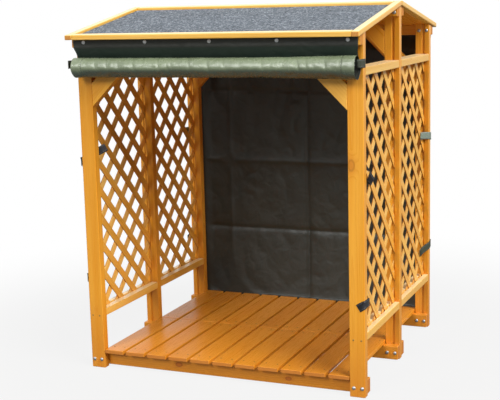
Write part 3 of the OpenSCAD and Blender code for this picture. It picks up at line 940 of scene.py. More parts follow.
class LOGSTORE_OT_lattice(bpy.types.Operator):
    """Lay the crossed strips of the four side panels and nail them where they cross"""

    bl_idname = "log_store.lattice"
    bl_label = "Lay the Lattice"

    def execute(self, context):
        lattice = settings().lattice
        # The rising strips take a paler stain as painted light, so that the right side's inner layer looks
        # brightly lit
        woods = {lean: stained_timber(f"strip_stain_{name}", Vector((0, 1, lean)).normalized(), Vector(),
                                      tones=tones, attribute="strip")
                 for name, lean, tones in (("falling", -1, lattice), ("rising", 1, settings().rising))}
        nails = bmesh.new()
        for side, outward in SIDES.items():
            for end in ENDS:
                self.lay_panel(f"{side}_{end}_lattice", outward, woods, nails)
        new_heads("lattice_nails", nails, plated_steel("nail_zinc", settings().fixing.zinc))
        return {"FINISHED"}

    def lay_panel(self, node, outward, woods, nails):
        """Lays one panel: falling strips on the right, rising strips on the left."""
        lattice = settings().lattice
        chance = random.Random(node)
        lower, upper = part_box(node)
        middle, half = (lower + upper) / 2, (upper - lower) / 2
        shift = lattice.right_shift if outward > 0 else 0.0
        strips = bmesh.new()
        own = strips.faces.layers.float.new("strip")
        rows = {}
        for lean, x0, x1 in ((-1, middle.x, upper.x), (1, lower.x, middle.x)):
            turn = Matrix.Rotation(lean * math.radians(45), 4, "X")
            place = Matrix.Translation((0, middle.y + shift, middle.z)) @ turn
            rows[lean] = []
            for row, reach in strip_rows(half.y, half.z, lean, shift):
                rows[lean].append(row)
                strip = bmesh.new()
                slip = chance.uniform(-STRIP_SLIP, STRIP_SLIP)
                verts = add_block(strip, (x0, -reach, row + slip - lattice.strip_width / 2),
                                  (x1, reach, row + slip + lattice.strip_width / 2), place)
                cut_to_panel(strip, verts, lower, upper)
                bmesh.ops.recalc_face_normals(strip, faces=strip.faces)
                loose = bpy.data.meshes.new("strip")
                strip.to_mesh(loose)
                strip.free()
                before = len(strips.faces)
                strips.from_mesh(loose)
                bpy.data.meshes.remove(loose)
                strips.faces.ensure_lookup_table()
                value = chance.random()
                for face in strips.faces[before:]:
                    face[own] = value
                    face.material_index = 0 if lean < 0 else 1
        self.drive_nails(nails, rows, middle, half, shift, outward, lower, upper)
        piece = new_piece(f"{node}_strips", strips, woods[-1], woods[1])
        ease_edges(piece, lattice.strip_edge)
        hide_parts(node)

    def drive_nails(self, nails, rows, middle, half, shift, outward, lower, upper):
        """One nail on the outer face wherever a rising strip crosses a falling one."""
        lattice = settings().lattice
        radius = lattice.nail_radius
        face_x = upper.x if outward > 0 else lower.x
        head = [(0, 0.0007), (radius * 0.75, 0.0006), (radius, 0.0002), (radius, -0.0003)]
        for fall in rows[-1]:
            for rise in rows[1]:
                y = (fall - rise) / math.sqrt(2) + shift
                z = (fall + rise) / math.sqrt(2)
                if abs(y) < half.y - NAIL_MARGIN and abs(z) < half.z - NAIL_MARGIN:
                    add_turned(nails, head, Vector((face_x, middle.y + y, middle.z + z)),
                               Vector((outward, 0, 0)), NAIL_STEPS)


class LOGSTORE_OT_roof(bpy.types.Operator):
    """Board the two roof slopes and lay the felt"""

    bl_idname = "log_store.roof"
    bl_label = "Board and Felt the Roof"

    def execute(self, context):
        roof = settings().roof
        felt = mineral_felt("mineral_felt")
        for end, way in ENDS.items():
            node = f"{end}_roof_deck"
            lower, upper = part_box(node)
            count, step = side_by_side(node, roof.board_width)
            slope = Vector((0, math.cos(roof.pitch), -way * math.sin(roof.pitch)))
            wood = stained_timber(node + "_stain", slope, (lower + upper) / 2, (ACROSS, lower.x, step))
            top_y = min(abs(lower.y), abs(upper.y))
            foot_y = max(abs(lower.y), abs(upper.y))
            tilt = math.tan(roof.pitch)
            rise = (upper.z - lower.z) - (foot_y - top_y) * tilt
            shear = Matrix.Identity(4)
            shear[2][1] = -way * tilt
            boards = bmesh.new()
            base = lower.z + foot_y * tilt
            near, far = sorted((way * top_y, way * foot_y))
            for i in range(count):
                x = lower.x + i * step
                add_block(boards, (x + roof.board_gap / 2, near, base),
                          (x + step - roof.board_gap / 2, far, base + rise), shear)
            piece = new_piece(f"{end}_deck_boards", boards, wood)
            ease_edges(piece, roof.board_edge)
            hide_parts(node)
            paint(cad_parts[f"{end}_roof_felt"], felt)
        return {"FINISHED"}


def reaches(points):
    """Distance of each point along a line of points."""
    along = [0.0]
    for before, here in zip(points, points[1:]):
        along.append(along[-1] + (here - before).length)
    return along


def add_sheet(shape, columns, rows, width, form):
    """Adds a sheet on a fine grid and gives its flat length.

    form gives the place of a point from its distance across the flat cut and its row.
    """
    cut = shape.loops.layers.uv.get("cut") or shape.loops.layers.uv.new("cut")
    along = reaches([form(0.0, row) for row in range(rows + 1)])
    made = bmesh.ops.create_grid(shape, x_segments=columns, y_segments=rows, size=0.5)["verts"]
    for vert in made:
        across, row = vert.co.x * width, round((0.5 - vert.co.y) * rows)
        for loop in vert.link_loops:
            loop[cut].uv = (across, along[row])
        vert.co = form(across, row)
    return along[-1]


def thicken(piece, sheet, back, rim):
    """Gives a sheet its thickness, with the steps to the materials of its other face and of its rim."""
    solid = piece.modifiers.new("Thickness", "SOLIDIFY")
    solid.thickness = sheet
    solid.offset = 0
    solid.material_offset = back
    solid.material_offset_rim = rim


def smooth_step(value, start, end):
    """0 before start, 1 after end, and a smooth rise between."""
    share = min(1.0, max(0.0, (value - start) / (end - start)))
    return share * share * (3 - 2 * share)


# Creases pressed into the roll: distance across, direction round the roll's axis in degrees, and depth
ROLL_CREASES = (
    (-0.541, 156, 0.0037), (-0.482, 150, 0.0026), (-0.422, 160, 0.0022), (-0.347, 150, 0.0022),
    (-0.224, 155, 0.0025), (-0.172, 192, 0.0024), (-0.077, 150, 0.0024), (0.015, 164, 0.0025),
    (0.085, 146, 0.0018), (0.259, 140, 0.0022), (0.423, 160, 0.0038), (0.458, 150, 0.0028),
    (0.542, 160, 0.0037),
)
# A crease's lean and width, in metres, how many widths it reaches, and how far it runs, in radians
CREASE_LEAN, CREASE_WIDTH, CREASE_WIDTHS, CREASE_TURN = 0.012, 0.0065, 4, 0.65

# Rows of the sheet's grid on the flap, from the beam to the roll, and in the outer and each inner turn
FLAP_ROWS, LEAD_ROWS, OUTER_ROWS, INNER_ROWS = 6, 10, 44, 11
ROLL_COLUMNS = 360

# Where the roll's flare starts at the right and the left and where it ends, and its share at the left
FLARE_RIGHT, FLARE_LEFT, FLARE_END, FLARE_SHARE = 0.22, 0.30, 0.67, 0.15

# Hems: width of their step, and thickness on the flap and on the roll, in metres
HEM_STEP, FLAP_HEM, ROLL_HEM = 0.004, 0.0006, 0.0008
# Dents in the roll: depth of large and small ones, and how far they lie below the surface, in metres
LARGE_DENT, SMALL_DENT, DENT_LEVEL = 0.0011, 0.0006, 0.0008
# Where the sheet's ends begin, as shares of its width: drawn in, less flat, and uneven
DRAWN_FROM, FLAT_UNTIL, UNEVEN_FROM = 0.44, 0.42, 0.40
# Share of the flat underside that is gone at the ends, and turns over which the inner turns step back
FLAT_LOST = 0.6
RECESS_TURNS = (0.9, 1.3)
# Height below the beam where the sheet hangs free, in metres, and turn after which the roll is loose
FREE_BELOW = 0.03
LOOSE_AFTER = 0.25


def roll_path(cover):
    """The front cover's profile from its top edge to the core: y, z and turn of each row, and the spiral."""
    top = high("front_cover").z
    radius = cover.roll_diameter / 2
    centre = Vector((FRONT_Y - cover.roll_gap - radius, EAVES_Z - cover.roll_drop))
    sheet_y = EAVES_FRONT_Y - cover.sheet
    lip = Vector((sheet_y, EAVES_Z)) - centre
    start = math.atan2(lip.y, lip.x) - math.acos(radius / lip.length)
    step = (radius - cover.core_diameter / 2) / cover.turns
    path = [(sheet_y, top + (EAVES_Z - top) * i / FLAP_ROWS, -1.0) for i in range(FLAP_ROWS)]
    meet = centre + Vector((math.cos(start), math.sin(start))) * radius
    for i in range(LEAD_ROWS):
        point = (lip + centre).lerp(meet, i / LEAD_ROWS)
        path.append((point.x, point.y, -1.0))
    path += [(centre.x, centre.y, i / OUTER_ROWS) for i in range(OUTER_ROWS)]
    path += [(centre.x, centre.y, i / INNER_ROWS) for i in range(INNER_ROWS, cover.turns * INNER_ROWS + 1)]
    return path, radius, step, start


def roll_swell(cover, x):
    """How far the roll stands out at a distance across: slim in the middle and flared to the right."""
    right, left = smooth_step(x, FLARE_RIGHT, FLARE_END), smooth_step(-x, FLARE_LEFT, FLARE_END)
    return cover.flare * (right + FLARE_SHARE * left) - cover.waist * (1 - right) * (1 - left)


def flattened(cover, angle):
    """How far the roll's underside is pressed flat at a direction."""
    turned = math.remainder(angle - cover.flat_towards, math.tau) / cover.flat_side
    return cover.flat_depth * max(0.0, 1 - turned ** 2) ** 2


def crease_depth(x, angle):
    """How far the creases press the roll in at a point of its outer turn."""
    depth = 0.0
    for place, towards, deepest in ROLL_CREASES:
        turned = math.remainder(angle - math.radians(towards), math.tau)
        aside = abs(x - place - CREASE_LEAN * turned) / CREASE_WIDTH
        if aside < CREASE_WIDTHS:
            depth += deepest * math.exp(-aside - (turned / CREASE_TURN) ** 2)
    return depth


class LOGSTORE_OT_front_cover(bpy.types.Operator):
    """Roll the front cover up under the eaves as one spiral sheet"""

    bl_idname = "log_store.front_cover"
    bl_label = "Roll up the Front Cover"

    def execute(self, context):
        cover = settings().cover
        lower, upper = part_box("front_cover")
        width = upper.x - lower.x
        path, radius, step, start = roll_path(cover)

        def hang(x, y, z, hem):
            """A place on the flap, or between the beam and the roll."""
            wave = noise.noise(Vector((x * 6, z * 11, 3.7))) + 0.6 * noise.noise(Vector((x * 15, z * 6, 8.2)))
            away = smooth_step(EAVES_Z - z, 0, FREE_BELOW)
            drawn = cover.tuck * smooth_step(abs(x), width * DRAWN_FROM, width / 2) * away
            out = max(0.0, wave) * cover.slack * away + hem * FLAP_HEM
            return Vector((x - math.copysign(drawn, x), y - out, z))

        def form(x, row):
            y, z, turn = path[row]
            hem = 1 - smooth_step(width / 2 - abs(x), cover.hem, cover.hem + HEM_STEP)
            if turn < 0:
                return hang(x, y, z, hem)
            angle = start - math.tau * turn
            facing = Vector((0, math.cos(angle), math.sin(angle)))
            outer = 1 - turn / cover.turns
            loose = smooth_step(turn, 0, LOOSE_AFTER)
            reach = radius - cover.sheet / 2 - step * turn - (1 - hem) * ROLL_HEM
            reach += loose * outer * smooth_step(-facing.y, -0.8, 0) * roll_swell(cover, x)
            dent = LARGE_DENT * noise.noise(facing * 0.9 + ACROSS * x * 7)
            dent += SMALL_DENT * noise.noise(facing * 1.7 + ACROSS * x * 26 + UP * 4)
            reach += loose * (min(0.0, dent - DENT_LEVEL) - outer * crease_depth(x, angle))
            round_end = FLAT_LOST * smooth_step(abs(x), width * FLAT_UNTIL, width / 2)
            reach -= outer * flattened(cover, angle) * (1 - round_end)
            side = math.copysign(1, x)
            stand = min(0.0, noise.noise(Vector((turn * 1.3, side * 2, 0.5))) * cover.ragged)
            stand -= cover.recess * smooth_step(turn, *RECESS_TURNS)
            if x < 0:
                stand -= cover.set_back
            stand *= smooth_step(abs(x), width * UNEVEN_FROM, width / 2) * loose
            return Vector((x + side * stand, y, z)) + facing * reach

        shape = bmesh.new()
        length = add_sheet(shape, ROLL_COLUMNS, len(path) - 1, width, form)
        bmesh.ops.recalc_face_normals(shape, faces=shape.faces)
        dark = coated_sheet("cover_dark_face", cover.dark, width, length, crumpled=0.4, dull=0.26)
        green = coated_sheet("cover_green_face", cover.green, width, length, crumpled=0.5, ior=COATING_IOR)
        piece = new_piece("front_cover_sheet", shape, dark, green, smooth=True)
        thicken(piece, cover.sheet, 1, 0)
        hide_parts("front_cover")
        return {"FINISHED"}


# Places on the rear cover, across and up, where its folds met when it was packed
CRUMPLES = ((-0.064, 1.254), (-0.129, 1.136), (0.119, 1.022), (-0.092, 0.990), (0.30, 0.62), (-0.36, 0.70))
CRUMPLE_AREA = 0.008

# The level fold that the others are spaced from, and the width of a fold's edge, in metres
FOLD_Z = 1.226
FOLD_EDGE = 0.011

# How far the sheet stands off the posts, sways, is ridged, rippled and crumpled, and hangs unevenly, in metres
BULGE, SWAY, RIDGED, RIPPLED, CRUMPLED = 0.014, 0.008, 0.0035, 0.0012, 0.005
UNEVEN, UNEVEN_MOST = 0.006, 0.008
# Height below the beam over which the sheet comes in to the posts, and comes free, and room beside a post
COMES_IN, COMES_FREE, BESIDE_POST = 0.080, 0.06, 0.05
REAR_COLUMNS, REAR_ROWS = 190, 210


class LOGSTORE_OT_rear_cover(bpy.types.Operator):
    """Hang the rear cover on the rear posts, with the creases of its packing folds"""

    bl_idname = "log_store.rear_cover"
    bl_label = "Hang the Rear Cover"

    def execute(self, context):
        cover = settings().cover
        lower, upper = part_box("rear_cover")
        width = upper.x - lower.x
        drop = upper.z - lower.z

        def fold(value, pitch):
            """A sharp ridge or valley at each fold, by turns."""
            step = value / pitch
            side = 1 if round(step) % 2 else -1
            apart = abs(step - round(step))
            return side * (math.exp(-apart * pitch / FOLD_EDGE) + 0.9 - 1.8 * apart)

        def ridge(x, z, seed):
            """Sharp ridges that wander over the sheet."""
            return max(0.0, 1 - 2.4 * abs(noise.noise(Vector((x, z, seed)))))

        def form(x, row):
            z = upper.z - drop * row / REAR_ROWS
            face = REAR_Y + (EAVES_REAR_Y - REAR_Y) * smooth_step(z, EAVES_Z - COMES_IN, EAVES_Z)
            free = smooth_step(INNER_X - abs(x), 0, BESIDE_POST) * smooth_step(EAVES_Z - z, 0.0, COMES_FREE)
            met = sum(math.exp(-((x - a) ** 2 + (z - b) ** 2) / CRUMPLE_AREA) for a, b in CRUMPLES)
            wave = BULGE + SWAY * noise.noise(Vector((x * 2.3, z * 1.4, 1.5)))
            wave -= cover.crease * (fold(x, cover.pack_width) + fold(z - FOLD_Z, cover.pack_height))
            wave += RIDGED * ridge(x * 7 + z * 2, z * 5 - x, 6.1)
            wave += (RIPPLED + CRUMPLED * min(1.0, met)) * ridge(x * 14 - z * 4, z * 11 + x * 3, 2.6)
            hang = UNEVEN * noise.noise(Vector((x * 3.1, 0.4, 2.2))) * row / REAR_ROWS
            return Vector((x, face + cover.sheet + max(0.0, wave) * free, z + max(-UNEVEN_MOST, hang)))

        shape = bmesh.new()
        length = add_sheet(shape, REAR_COLUMNS, REAR_ROWS, width, form)
        bmesh.ops.recalc_face_normals(shape, faces=shape.faces)
        green = coated_sheet("rear_green_face", cover.green, width, length, crumpled=0.5, ior=COATING_IOR)
        dark = coated_sheet("rear_dark_face", cover.dark, width, length, crumpled=0.3, dull=0.2)
        piece = new_piece("rear_cover_sheet", shape, green, dark, smooth=True)
        thicken(piece, cover.sheet, 1, 0)
        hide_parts("rear_cover")
        return {"FINISHED"}


# Points of a rounded corner, and the most of a strap's side that a corner takes
BEND_POINTS = (0, 0.25, 0.5, 0.75, 1)
BEND_ROOM = 0.45
STRAP_COLUMNS = 6
TAIL_STEPS = 4


def rounded(corners, bend):
    """A line through corners, with each corner rounded."""
    corners = [Vector(corner) for corner in corners]
    line = [corners[0]]
    for before, here, after in zip(corners, corners[1:], corners[2:]):
        room = min(bend, (before - here).length * BEND_ROOM, (after - here).length * BEND_ROOM)
        enter = here + (before - here).normalized() * room
        leave = here + (after - here).normalized() * room
        line += [enter.lerp(here, share).lerp(here.lerp(leave, share), share) for share in BEND_POINTS]
    return line + [corners[-1]]


def add_strap(shape, corners):
    """Lays a strap on edge along a line of corners."""
    strap = settings().strap
    line = rounded(corners, strap.bend)
    last = len(line) - 1

    def form(across, row):
        ahead = (line[min(row + 1, last)] - line[max(row - 1, 0)]).normalized()
        return line[row] + (UP - ahead * ahead.z).normalized() * across

    add_sheet(shape, STRAP_COLUMNS, last, strap.width, form)


def add_tail(shape, upper, lower):
    """Lays a strap between its two edges, each a line of as many points."""
    width = settings().strap.width

    def edge(points, row):
        i = min(row // TAIL_STEPS, len(points) - 2)
        return Vector(points[i]).lerp(Vector(points[i + 1]), row / TAIL_STEPS - i)

    def form(across, row):
        return edge(lower, row).lerp(edge(upper, row), across / width + 0.5)

    add_sheet(shape, STRAP_COLUMNS, (len(upper) - 1) * TAIL_STEPS, width, form)


# Edges of the right upper front strap, which comes round the post, folds over and hangs: corners in metres
FOLDED_TAIL = (
    ((0.660, -0.544, 1.019), (0.677, -0.541, 1.017), (0.6905, -0.533, 0.988), (0.692, -0.531, 0.986),
     (0.709, -0.529, 0.956)),
    ((0.660, -0.544, 0.983), (0.676, -0.541, 0.992), (0.6895, -0.533, 0.984), (0.676, -0.531, 0.942),
     (0.692, -0.529, 0.923)),
)

# Fronts of the tabs at the left and right ends of the roll, and height of the tabs, in metres
TAB_STARTS = ((-1, -0.668), (1, -0.644))
TAB_Z = 1.442


class LOGSTORE_OT_straps(bpy.types.Operator):
    """Lay the straps round the posts and the tabs at the ends of the roll"""

    bl_idname = "log_store.straps"
    bl_label = "Fasten the Straps"

    def execute(self, context):
        strap = settings().strap
        green = webbing("green_webbing", strap.green, strap.green_roughness)
        # Painted sheen: the upper rear straps use the pale copy of the green webbing
        pale = webbing("pale_webbing", strap.pale, strap.sheen_roughness)
        black = webbing("black_webbing", strap.black, strap.black_roughness)
        upper, lower = self.rear_lines()
        rear = self.hang("rear_post_straps", upper, (pale, green), "green_strap", more=lower)
        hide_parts("rear_straps")
        front = self.hang("front_post_straps", self.front_lines(), (black,), "black_strap", FOLDED_TAIL)
        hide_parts("front_straps")
        tab = webbing("tab_webbing", strap.tab, strap.black_roughness)
        self.hang("roll_tabs", self.roll_lines(), (tab,), "green_strap")
        return {"FINISHED"}

    def rear_lines(self):
        """Upper and lower straps that hold the rear cover to its posts: corners from the loose end inside."""
        cover, skin = settings().cover, settings().strap.thickness / 2
        out_x, face_y, back_y = HALF_W + skin, REAR_FRONT_Y - skin, REAR_Y + cover.sheet * WASHER_SEAT + skin
        side_y, end_x = REAR_FRONT_Y + 0.018, HALF_W - 0.040
        upper = ((0.658, 0.462, 1.017), (0.664, 0.505, 1.014), (out_x, face_y, 1.010),
                 (out_x + 0.004, side_y, 1.008), (out_x + 0.001, back_y, 1.003), (end_x, back_y, 1.001))
        lower = ((0.658, 0.450, 0.414), (0.664, 0.495, 0.424), (out_x + 0.001, face_y, 0.437),
                 (out_x + 0.003, side_y, 0.441), (out_x + 0.001, back_y, 0.445), (end_x, back_y, 0.447))
        return [[[(outward * x, y, z) for x, y, z in line] for outward in SIDES.values()]
                for line in (upper, lower)]

    def front_lines(self):
        """Loose straps on the front posts: the right lower one, and the left ones from the top down."""
        skin = settings().strap.thickness / 2
        out_x, face_y, back_y = HALF_W + skin, FRONT_Y - skin, FRONT_BACK_Y + skin
        return [
            [(0.650, face_y, 0.399), (out_x, face_y, 0.418), (out_x, back_y, 0.416),
             (out_x - 0.004, -0.506, 0.411)],
            [(-0.577, back_y + 0.010, 1.056), (-0.606, back_y, 1.039), (-0.642, back_y, 1.022)],
            [(-0.657, back_y, 1.008), (-out_x, back_y, 0.998), (-out_x - 0.016, -0.566, 0.989),
             (-out_x, -0.583, 0.986)],
            [(-0.657, back_y, 0.447), (-out_x, back_y, 0.440), (-out_x - 0.013, -0.566, 0.436),
             (-out_x, -0.583, 0.433)],
        ]

    def roll_lines(self):
        """Tabs from the front posts' sides to the ends of the roll."""
        skin = settings().strap.thickness / 2
        half, out_x = high("front_cover").x + 0.003, HALF_W + skin
        lines = []
        for outward, start in TAB_STARTS:
            corners = ((half, start, TAB_Z), (out_x + 0.004, start + 0.014, TAB_Z),
                       (out_x, FRONT_Y, TAB_Z - 0.001), (out_x, -0.556, TAB_Z - 0.002))
            lines.append([(outward * x, y, z) for x, y, z in corners])
        return lines

    def hang(self, name, lines, materials, slot, tail=None, more=()):
        """Makes one piece of several straps, with a folded tail, and more straps of the second material."""
        shape = bmesh.new()
        for line in lines:
            add_strap(shape, line)
        if tail:
            add_tail(shape, *tail)
        first = set(shape.faces)
        for line in more:
            add_strap(shape, line)
        for face in set(shape.faces) - first:
            face.material_index = 1
        bmesh.ops.recalc_face_normals(shape, faces=shape.faces)
        piece = new_piece(name, shape, *materials, smooth=True)
        thicken(piece, settings().strap.thickness, 0, 0)
        return piece


# Heights of the bolts in the top of the posts and above the ridge beams' lower edge, in metres
TOP_BOLT_Z = 1.539
RIDGE_BOLT_UP = 0.018
# Washers: drop from the cover's top edge, shift to the right, places in steps of their pitch
WASHER_DROP, WASHER_SHIFT = 0.014, 0.005
WASHER_PLACES = (-2, -1, 0, 1, 2)
# Screws: distances from the posts' outer faces and the rails' edges, in metres, and shares of a slat's width
SCREW_EDGES = (0.016, 0.052)
SCREW_UP, SCREW_DOWN = 0.006, 0.014
SLAT_SCREWS = (0.22, 0.78)
# Steps round a bolt's head or a washer, a nut, the end of a bolt, and a screw
BOLT_STEPS, NUT_STEPS, SHANK_STEPS, SCREW_STEPS = 24, 6, 16, 10


class LOGSTORE_OT_fixings(bpy.types.Operator):
    """Drive the bolts, nuts, washers and screws"""

    bl_idname = "log_store.fixings"
    bl_label = "Drive the Fixings"

    def execute(self, context):
        fixing = settings().fixing
        zinc = plated_steel("fixing_zinc", fixing.zinc)
        edges = (fixing.near_edge, fixing.far_edge)
        columns = [side * (HALF_W - edge) for side in SIDES.values() for edge in edges]
        foot_z = (low("front_foot_beam").z + high("front_foot_beam").z) / 2
        middle_y = high("middle_rear_foot_beam").y
        ridge_z = low("front_ridge_beam").z + RIDGE_BOLT_UP
        heads = [(FRONT_Y, foot_z), (-middle_y, foot_z), (low("rear_foot_beam").y, foot_z),
                 (REAR_FRONT_Y, TOP_BOLT_Z), (RIDGE_FRONT_Y, ridge_z)]
        nuts = [(high("front_foot_beam").y, foot_z), (middle_y, foot_z), (FRONT_BACK_Y, TOP_BOLT_Z),
                (RIDGE_REAR_Y, ridge_z)]
        bolts = bmesh.new()
        for x in columns:
            for y, z in heads:
                self.add_bolt(bolts, Vector((x, y, z)), -BACK)
            for y, z in nuts:
                self.add_nut(bolts, Vector((x, y, z)), BACK)
        new_heads("frame_bolts", bolts, plated_steel("bolt_zinc", fixing.bolt))
        washers = bmesh.new()
        flap_z = high("front_cover").z - WASHER_DROP
        seat = settings().cover.sheet * WASHER_SEAT
        for i in WASHER_PLACES:
            x = i * fixing.washer_pitch + WASHER_SHIFT
            self.add_washer(washers, Vector((x, EAVES_FRONT_Y - seat, flap_z)), -BACK)
            self.add_washer(washers, Vector((x, EAVES_REAR_Y + seat, flap_z)), BACK)
        new_heads("cover_washers", washers, zinc)
        self.drive_screws(plated_steel("screw_plating", fixing.brass))
        return {"FINISHED"}

    def add_bolt(self, shape, place, facing):
        """A domed bolt head with a thin rim."""
        r, h = settings().fixing.bolt_radius, settings().fixing.bolt_height
        dome = [(0, h), (r * 0.35, h * 0.95), (r * 0.62, h * 0.78), (r * 0.85, h * 0.48), (r * 0.96, h * 0.24),
                (r, h * 0.2), (r, -0.0002)]
        add_turned(shape, dome, place, facing, BOLT_STEPS)

    def add_nut(self, shape, place, facing):
        """A six-sided nut on a washer, with the end of its bolt."""
        r, h = settings().fixing.bolt_radius, settings().fixing.bolt_height
        washer = [(0, 0.0014), (r * 1.25, 0.0014), (r * 1.3, 0.0010), (r * 1.3, -0.0002)]
        nut = [(r * 0.5, h), (r * 0.86, h), (r * 0.95, h * 0.85), (r * 0.95, 0.0012)]
        shank = [(0, h * 1.5), (r * 0.4, h * 1.5), (r * 0.48, h * 1.35), (r * 0.48, h * 0.8)]
        add_turned(shape, washer, place, facing, BOLT_STEPS)
        add_turned(shape, nut, place, facing, NUT_STEPS)
        add_turned(shape, shank, place, facing, SHANK_STEPS)

    def add_washer(self, shape, place, facing):
        """A dished washer with a screw through the cover."""
        r = settings().fixing.washer_radius
        dish = [(0, 0.0016), (r * 0.5, 0.0020), (r * 0.8, 0.0018), (r, 0.0009), (r * 1.02, 0)]
        head = [(0, 0.0042), (r * 0.2, 0.0040), (r * 0.36, 0.0031), (r * 0.42, 0.0015)]
        add_turned(shape, dish, place, facing, BOLT_STEPS)
        add_turned(shape, head, place, facing, SHANK_STEPS)

    def drive_screws(self, plating):
        """Screws through the posts into the rails, and through the slats into the foot beams."""
        r = settings().fixing.screw_radius
        head = [(0, 0.0001), (r * 0.35, 0.0001), (r * 0.5, 0.0006), (r * 0.9, 0.0005), (r, -0.0003)]
        screws = bmesh.new()
        heights = (low("left_bottom_rails").z + SCREW_UP, high("left_top_rails").z - SCREW_DOWN)
        for outward in SIDES.values():
            for edge in SCREW_EDGES:
                for z in heights:
                    place = Vector((outward * (HALF_W - edge), FRONT_Y, z))
                    add_turned(screws, head, place, -BACK, SCREW_STEPS)
        slat = settings().timber.slat_width
        for end in ENDS:
            node = f"{end}_floor_slats"
            lower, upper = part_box(node)
            count = side_by_side(node, settings().timber.slat_pitch)[0]
            step = (upper.x - lower.x - slat) / (count - 1)
            beams = [beam for beam in FOOT_BEAMS if lower.y < low(beam).y < upper.y]
            for i in range(count):
                for beam in beams:
                    y = (low(beam).y + high(beam).y) / 2
                    for share in SLAT_SCREWS:
                        place = Vector((lower.x + i * step + slat * share, y, upper.z))
                        add_turned(screws, head, place, UP, SCREW_STEPS)
        new_heads("frame_screws", screws, plating)


# Half the floor's width, and distances from the store between which it fades to white, in metres
FLOOR_SIZE = 40
FADE = (1.0, 3.0)


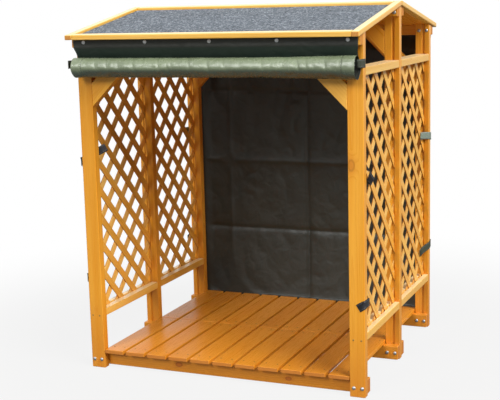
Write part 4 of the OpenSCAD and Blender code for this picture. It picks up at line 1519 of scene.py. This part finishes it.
class LOGSTORE_OT_stage(bpy.types.Operator):
    """Set the pale floor, the soft light and the camera"""

    bl_idname = "log_store.stage"
    bl_label = "Set the Stage"

    def execute(self, context):
        stage = settings().stage
        context.scene.view_settings.view_transform = "Standard"
        self.lay_floor(stage)
        self.light(context, stage)
        self.place_camera(context, stage)
        return {"FINISHED"}

    def lay_floor(self, stage):
        """A wide floor that fades to white away from the store."""
        shape = bmesh.new()
        bmesh.ops.create_grid(shape, x_segments=1, y_segments=1, size=FLOOR_SIZE)
        mesh = bpy.data.meshes.new("studio_floor")
        shape.to_mesh(mesh)
        shape.free()
        floor = bpy.data.objects.new("studio_floor", mesh)
        bpy.context.scene.collection.objects.link(floor)
        finish = Finish("studio_floor",
                        {"Base Color": linear(stage.floor), "Roughness": 0.9, "Specular IOR Level": 0.1})
        seen = finish.node("ShaderNodeLightPath", {}, {}, "Is Camera Ray")
        far = (finish.place() * (1, 1, 0)).length().rise(*FADE)
        white = finish.node("ShaderNodeEmission", {}, {"Color": (1, 1, 1), "Strength": 1.0})
        share = seen * (far * (1 - stage.white_near) + stage.white_near)
        mixed = finish.node("ShaderNodeMixShader", {},
                            {0: share, 1: Term(finish, finish.shader.outputs[0]), 2: white})
        output = next(n for n in finish.tree.nodes if n.type == "OUTPUT_MATERIAL")
        finish.feed(output.inputs["Surface"], mixed)
        paint(floor, finish.material)

    def light(self, context, stage):
        """Faint light from all round, and three soft lamps. Glossy surfaces mirror a white room."""
        world = bpy.data.worlds.new("studio")
        context.scene.world = world
        world.use_nodes = True
        room = Shading(world.node_tree)
        camera, glossy, through = (room.node("ShaderNodeLightPath", {}, {}, f"Is {ray} Ray")
                                   for ray in ("Camera", "Glossy", "Transmission"))
        seen = camera.most(glossy).most(through)
        strength = seen * (1 - stage.ambient) + stage.ambient
        lit = room.node("ShaderNodeBackground", {}, {"Color": (1, 1, 1), "Strength": strength})
        output = room.tree.nodes.new("ShaderNodeOutputWorld")
        room.feed(output.inputs["Surface"], lit)
        for name in ("key", "fill", "top"):
            strength, spread, towards = (getattr(stage, name + kind) for kind in ("", "_spread", "_from"))
            self.hang_lamp(context, f"{name}_light", strength, spread, towards)

    def hang_lamp(self, context, name, strength, spread, towards):
        """A wide, even lamp far away in one direction."""
        lamp = bpy.data.lights.new(name, "SUN")
        lamp.energy = strength
        lamp.angle = spread
        hung = bpy.data.objects.new(name, lamp)
        context.scene.collection.objects.link(hung)
        hung.rotation_mode = "QUATERNION"
        hung.rotation_quaternion = Vector(towards).to_track_quat("Z", "Y")

    def place_camera(self, context, stage):
        """A camera at the photograph's place and angle."""
        data = bpy.data.cameras.new("camera")
        data.lens = stage.lens
        camera = bpy.data.objects.new("camera", data)
        context.scene.collection.objects.link(camera)
        ahead = Vector((-math.sin(stage.heading) * math.cos(stage.dip),
                        math.cos(stage.heading) * math.cos(stage.dip), -math.sin(stage.dip)))
        level = Vector((math.cos(stage.heading), math.sin(stage.heading), 0))
        above = level.cross(ahead)
        right = level * math.cos(stage.roll) + above * math.sin(stage.roll)
        up = above * math.cos(stage.roll) - level * math.sin(stage.roll)
        turn = Matrix((right, up, -ahead)).transposed().to_4x4()
        camera.matrix_world = Matrix.Translation(stage.eye) @ turn
        context.scene.camera = camera


STEPS = (LOGSTORE_OT_stage, LOGSTORE_OT_timber, LOGSTORE_OT_floor, LOGSTORE_OT_lattice, LOGSTORE_OT_roof,
         LOGSTORE_OT_front_cover, LOGSTORE_OT_rear_cover, LOGSTORE_OT_straps, LOGSTORE_OT_fixings)


class LOGSTORE_PT_sidebar(bpy.types.Panel):
    """Lists the steps of the finish"""

    bl_idname = "LOGSTORE_PT_sidebar"
    bl_label = "Log Store"
    bl_space_type = "VIEW_3D"
    bl_region_type = "UI"
    bl_category = "Log Store"

    def draw(self, context):
        for step in STEPS:
            self.layout.operator(step.bl_idname)


GROUPS = (TimberSettings, TrimSettings, LatticeSettings, RisingStripPaintedLightSettings, RoofSettings, CoverSettings,
          StrapSettings, FixingSettings, StageSettings, LogStoreSettings)
CLASSES = (*GROUPS, *STEPS, LOGSTORE_PT_sidebar)


def register():
    """Makes the settings, steps and panel known."""
    for kind in CLASSES:
        bpy.utils.register_class(kind)
    bpy.types.Scene.log_store = PointerProperty(type=LogStoreSettings)


def unregister():
    """Takes the settings, steps and panel away."""
    del bpy.types.Scene.log_store
    for kind in reversed(CLASSES):
        bpy.utils.unregister_class(kind)


def main():
    """Runs every step in order."""
    register()
    bpy.ops.log_store.stage()
    bpy.ops.log_store.timber()
    bpy.ops.log_store.floor()
    bpy.ops.log_store.lattice()
    bpy.ops.log_store.roof()
    bpy.ops.log_store.front_cover()
    bpy.ops.log_store.rear_cover()
    bpy.ops.log_store.straps()
    bpy.ops.log_store.fixings()


if __name__ == "__main__":
    main()
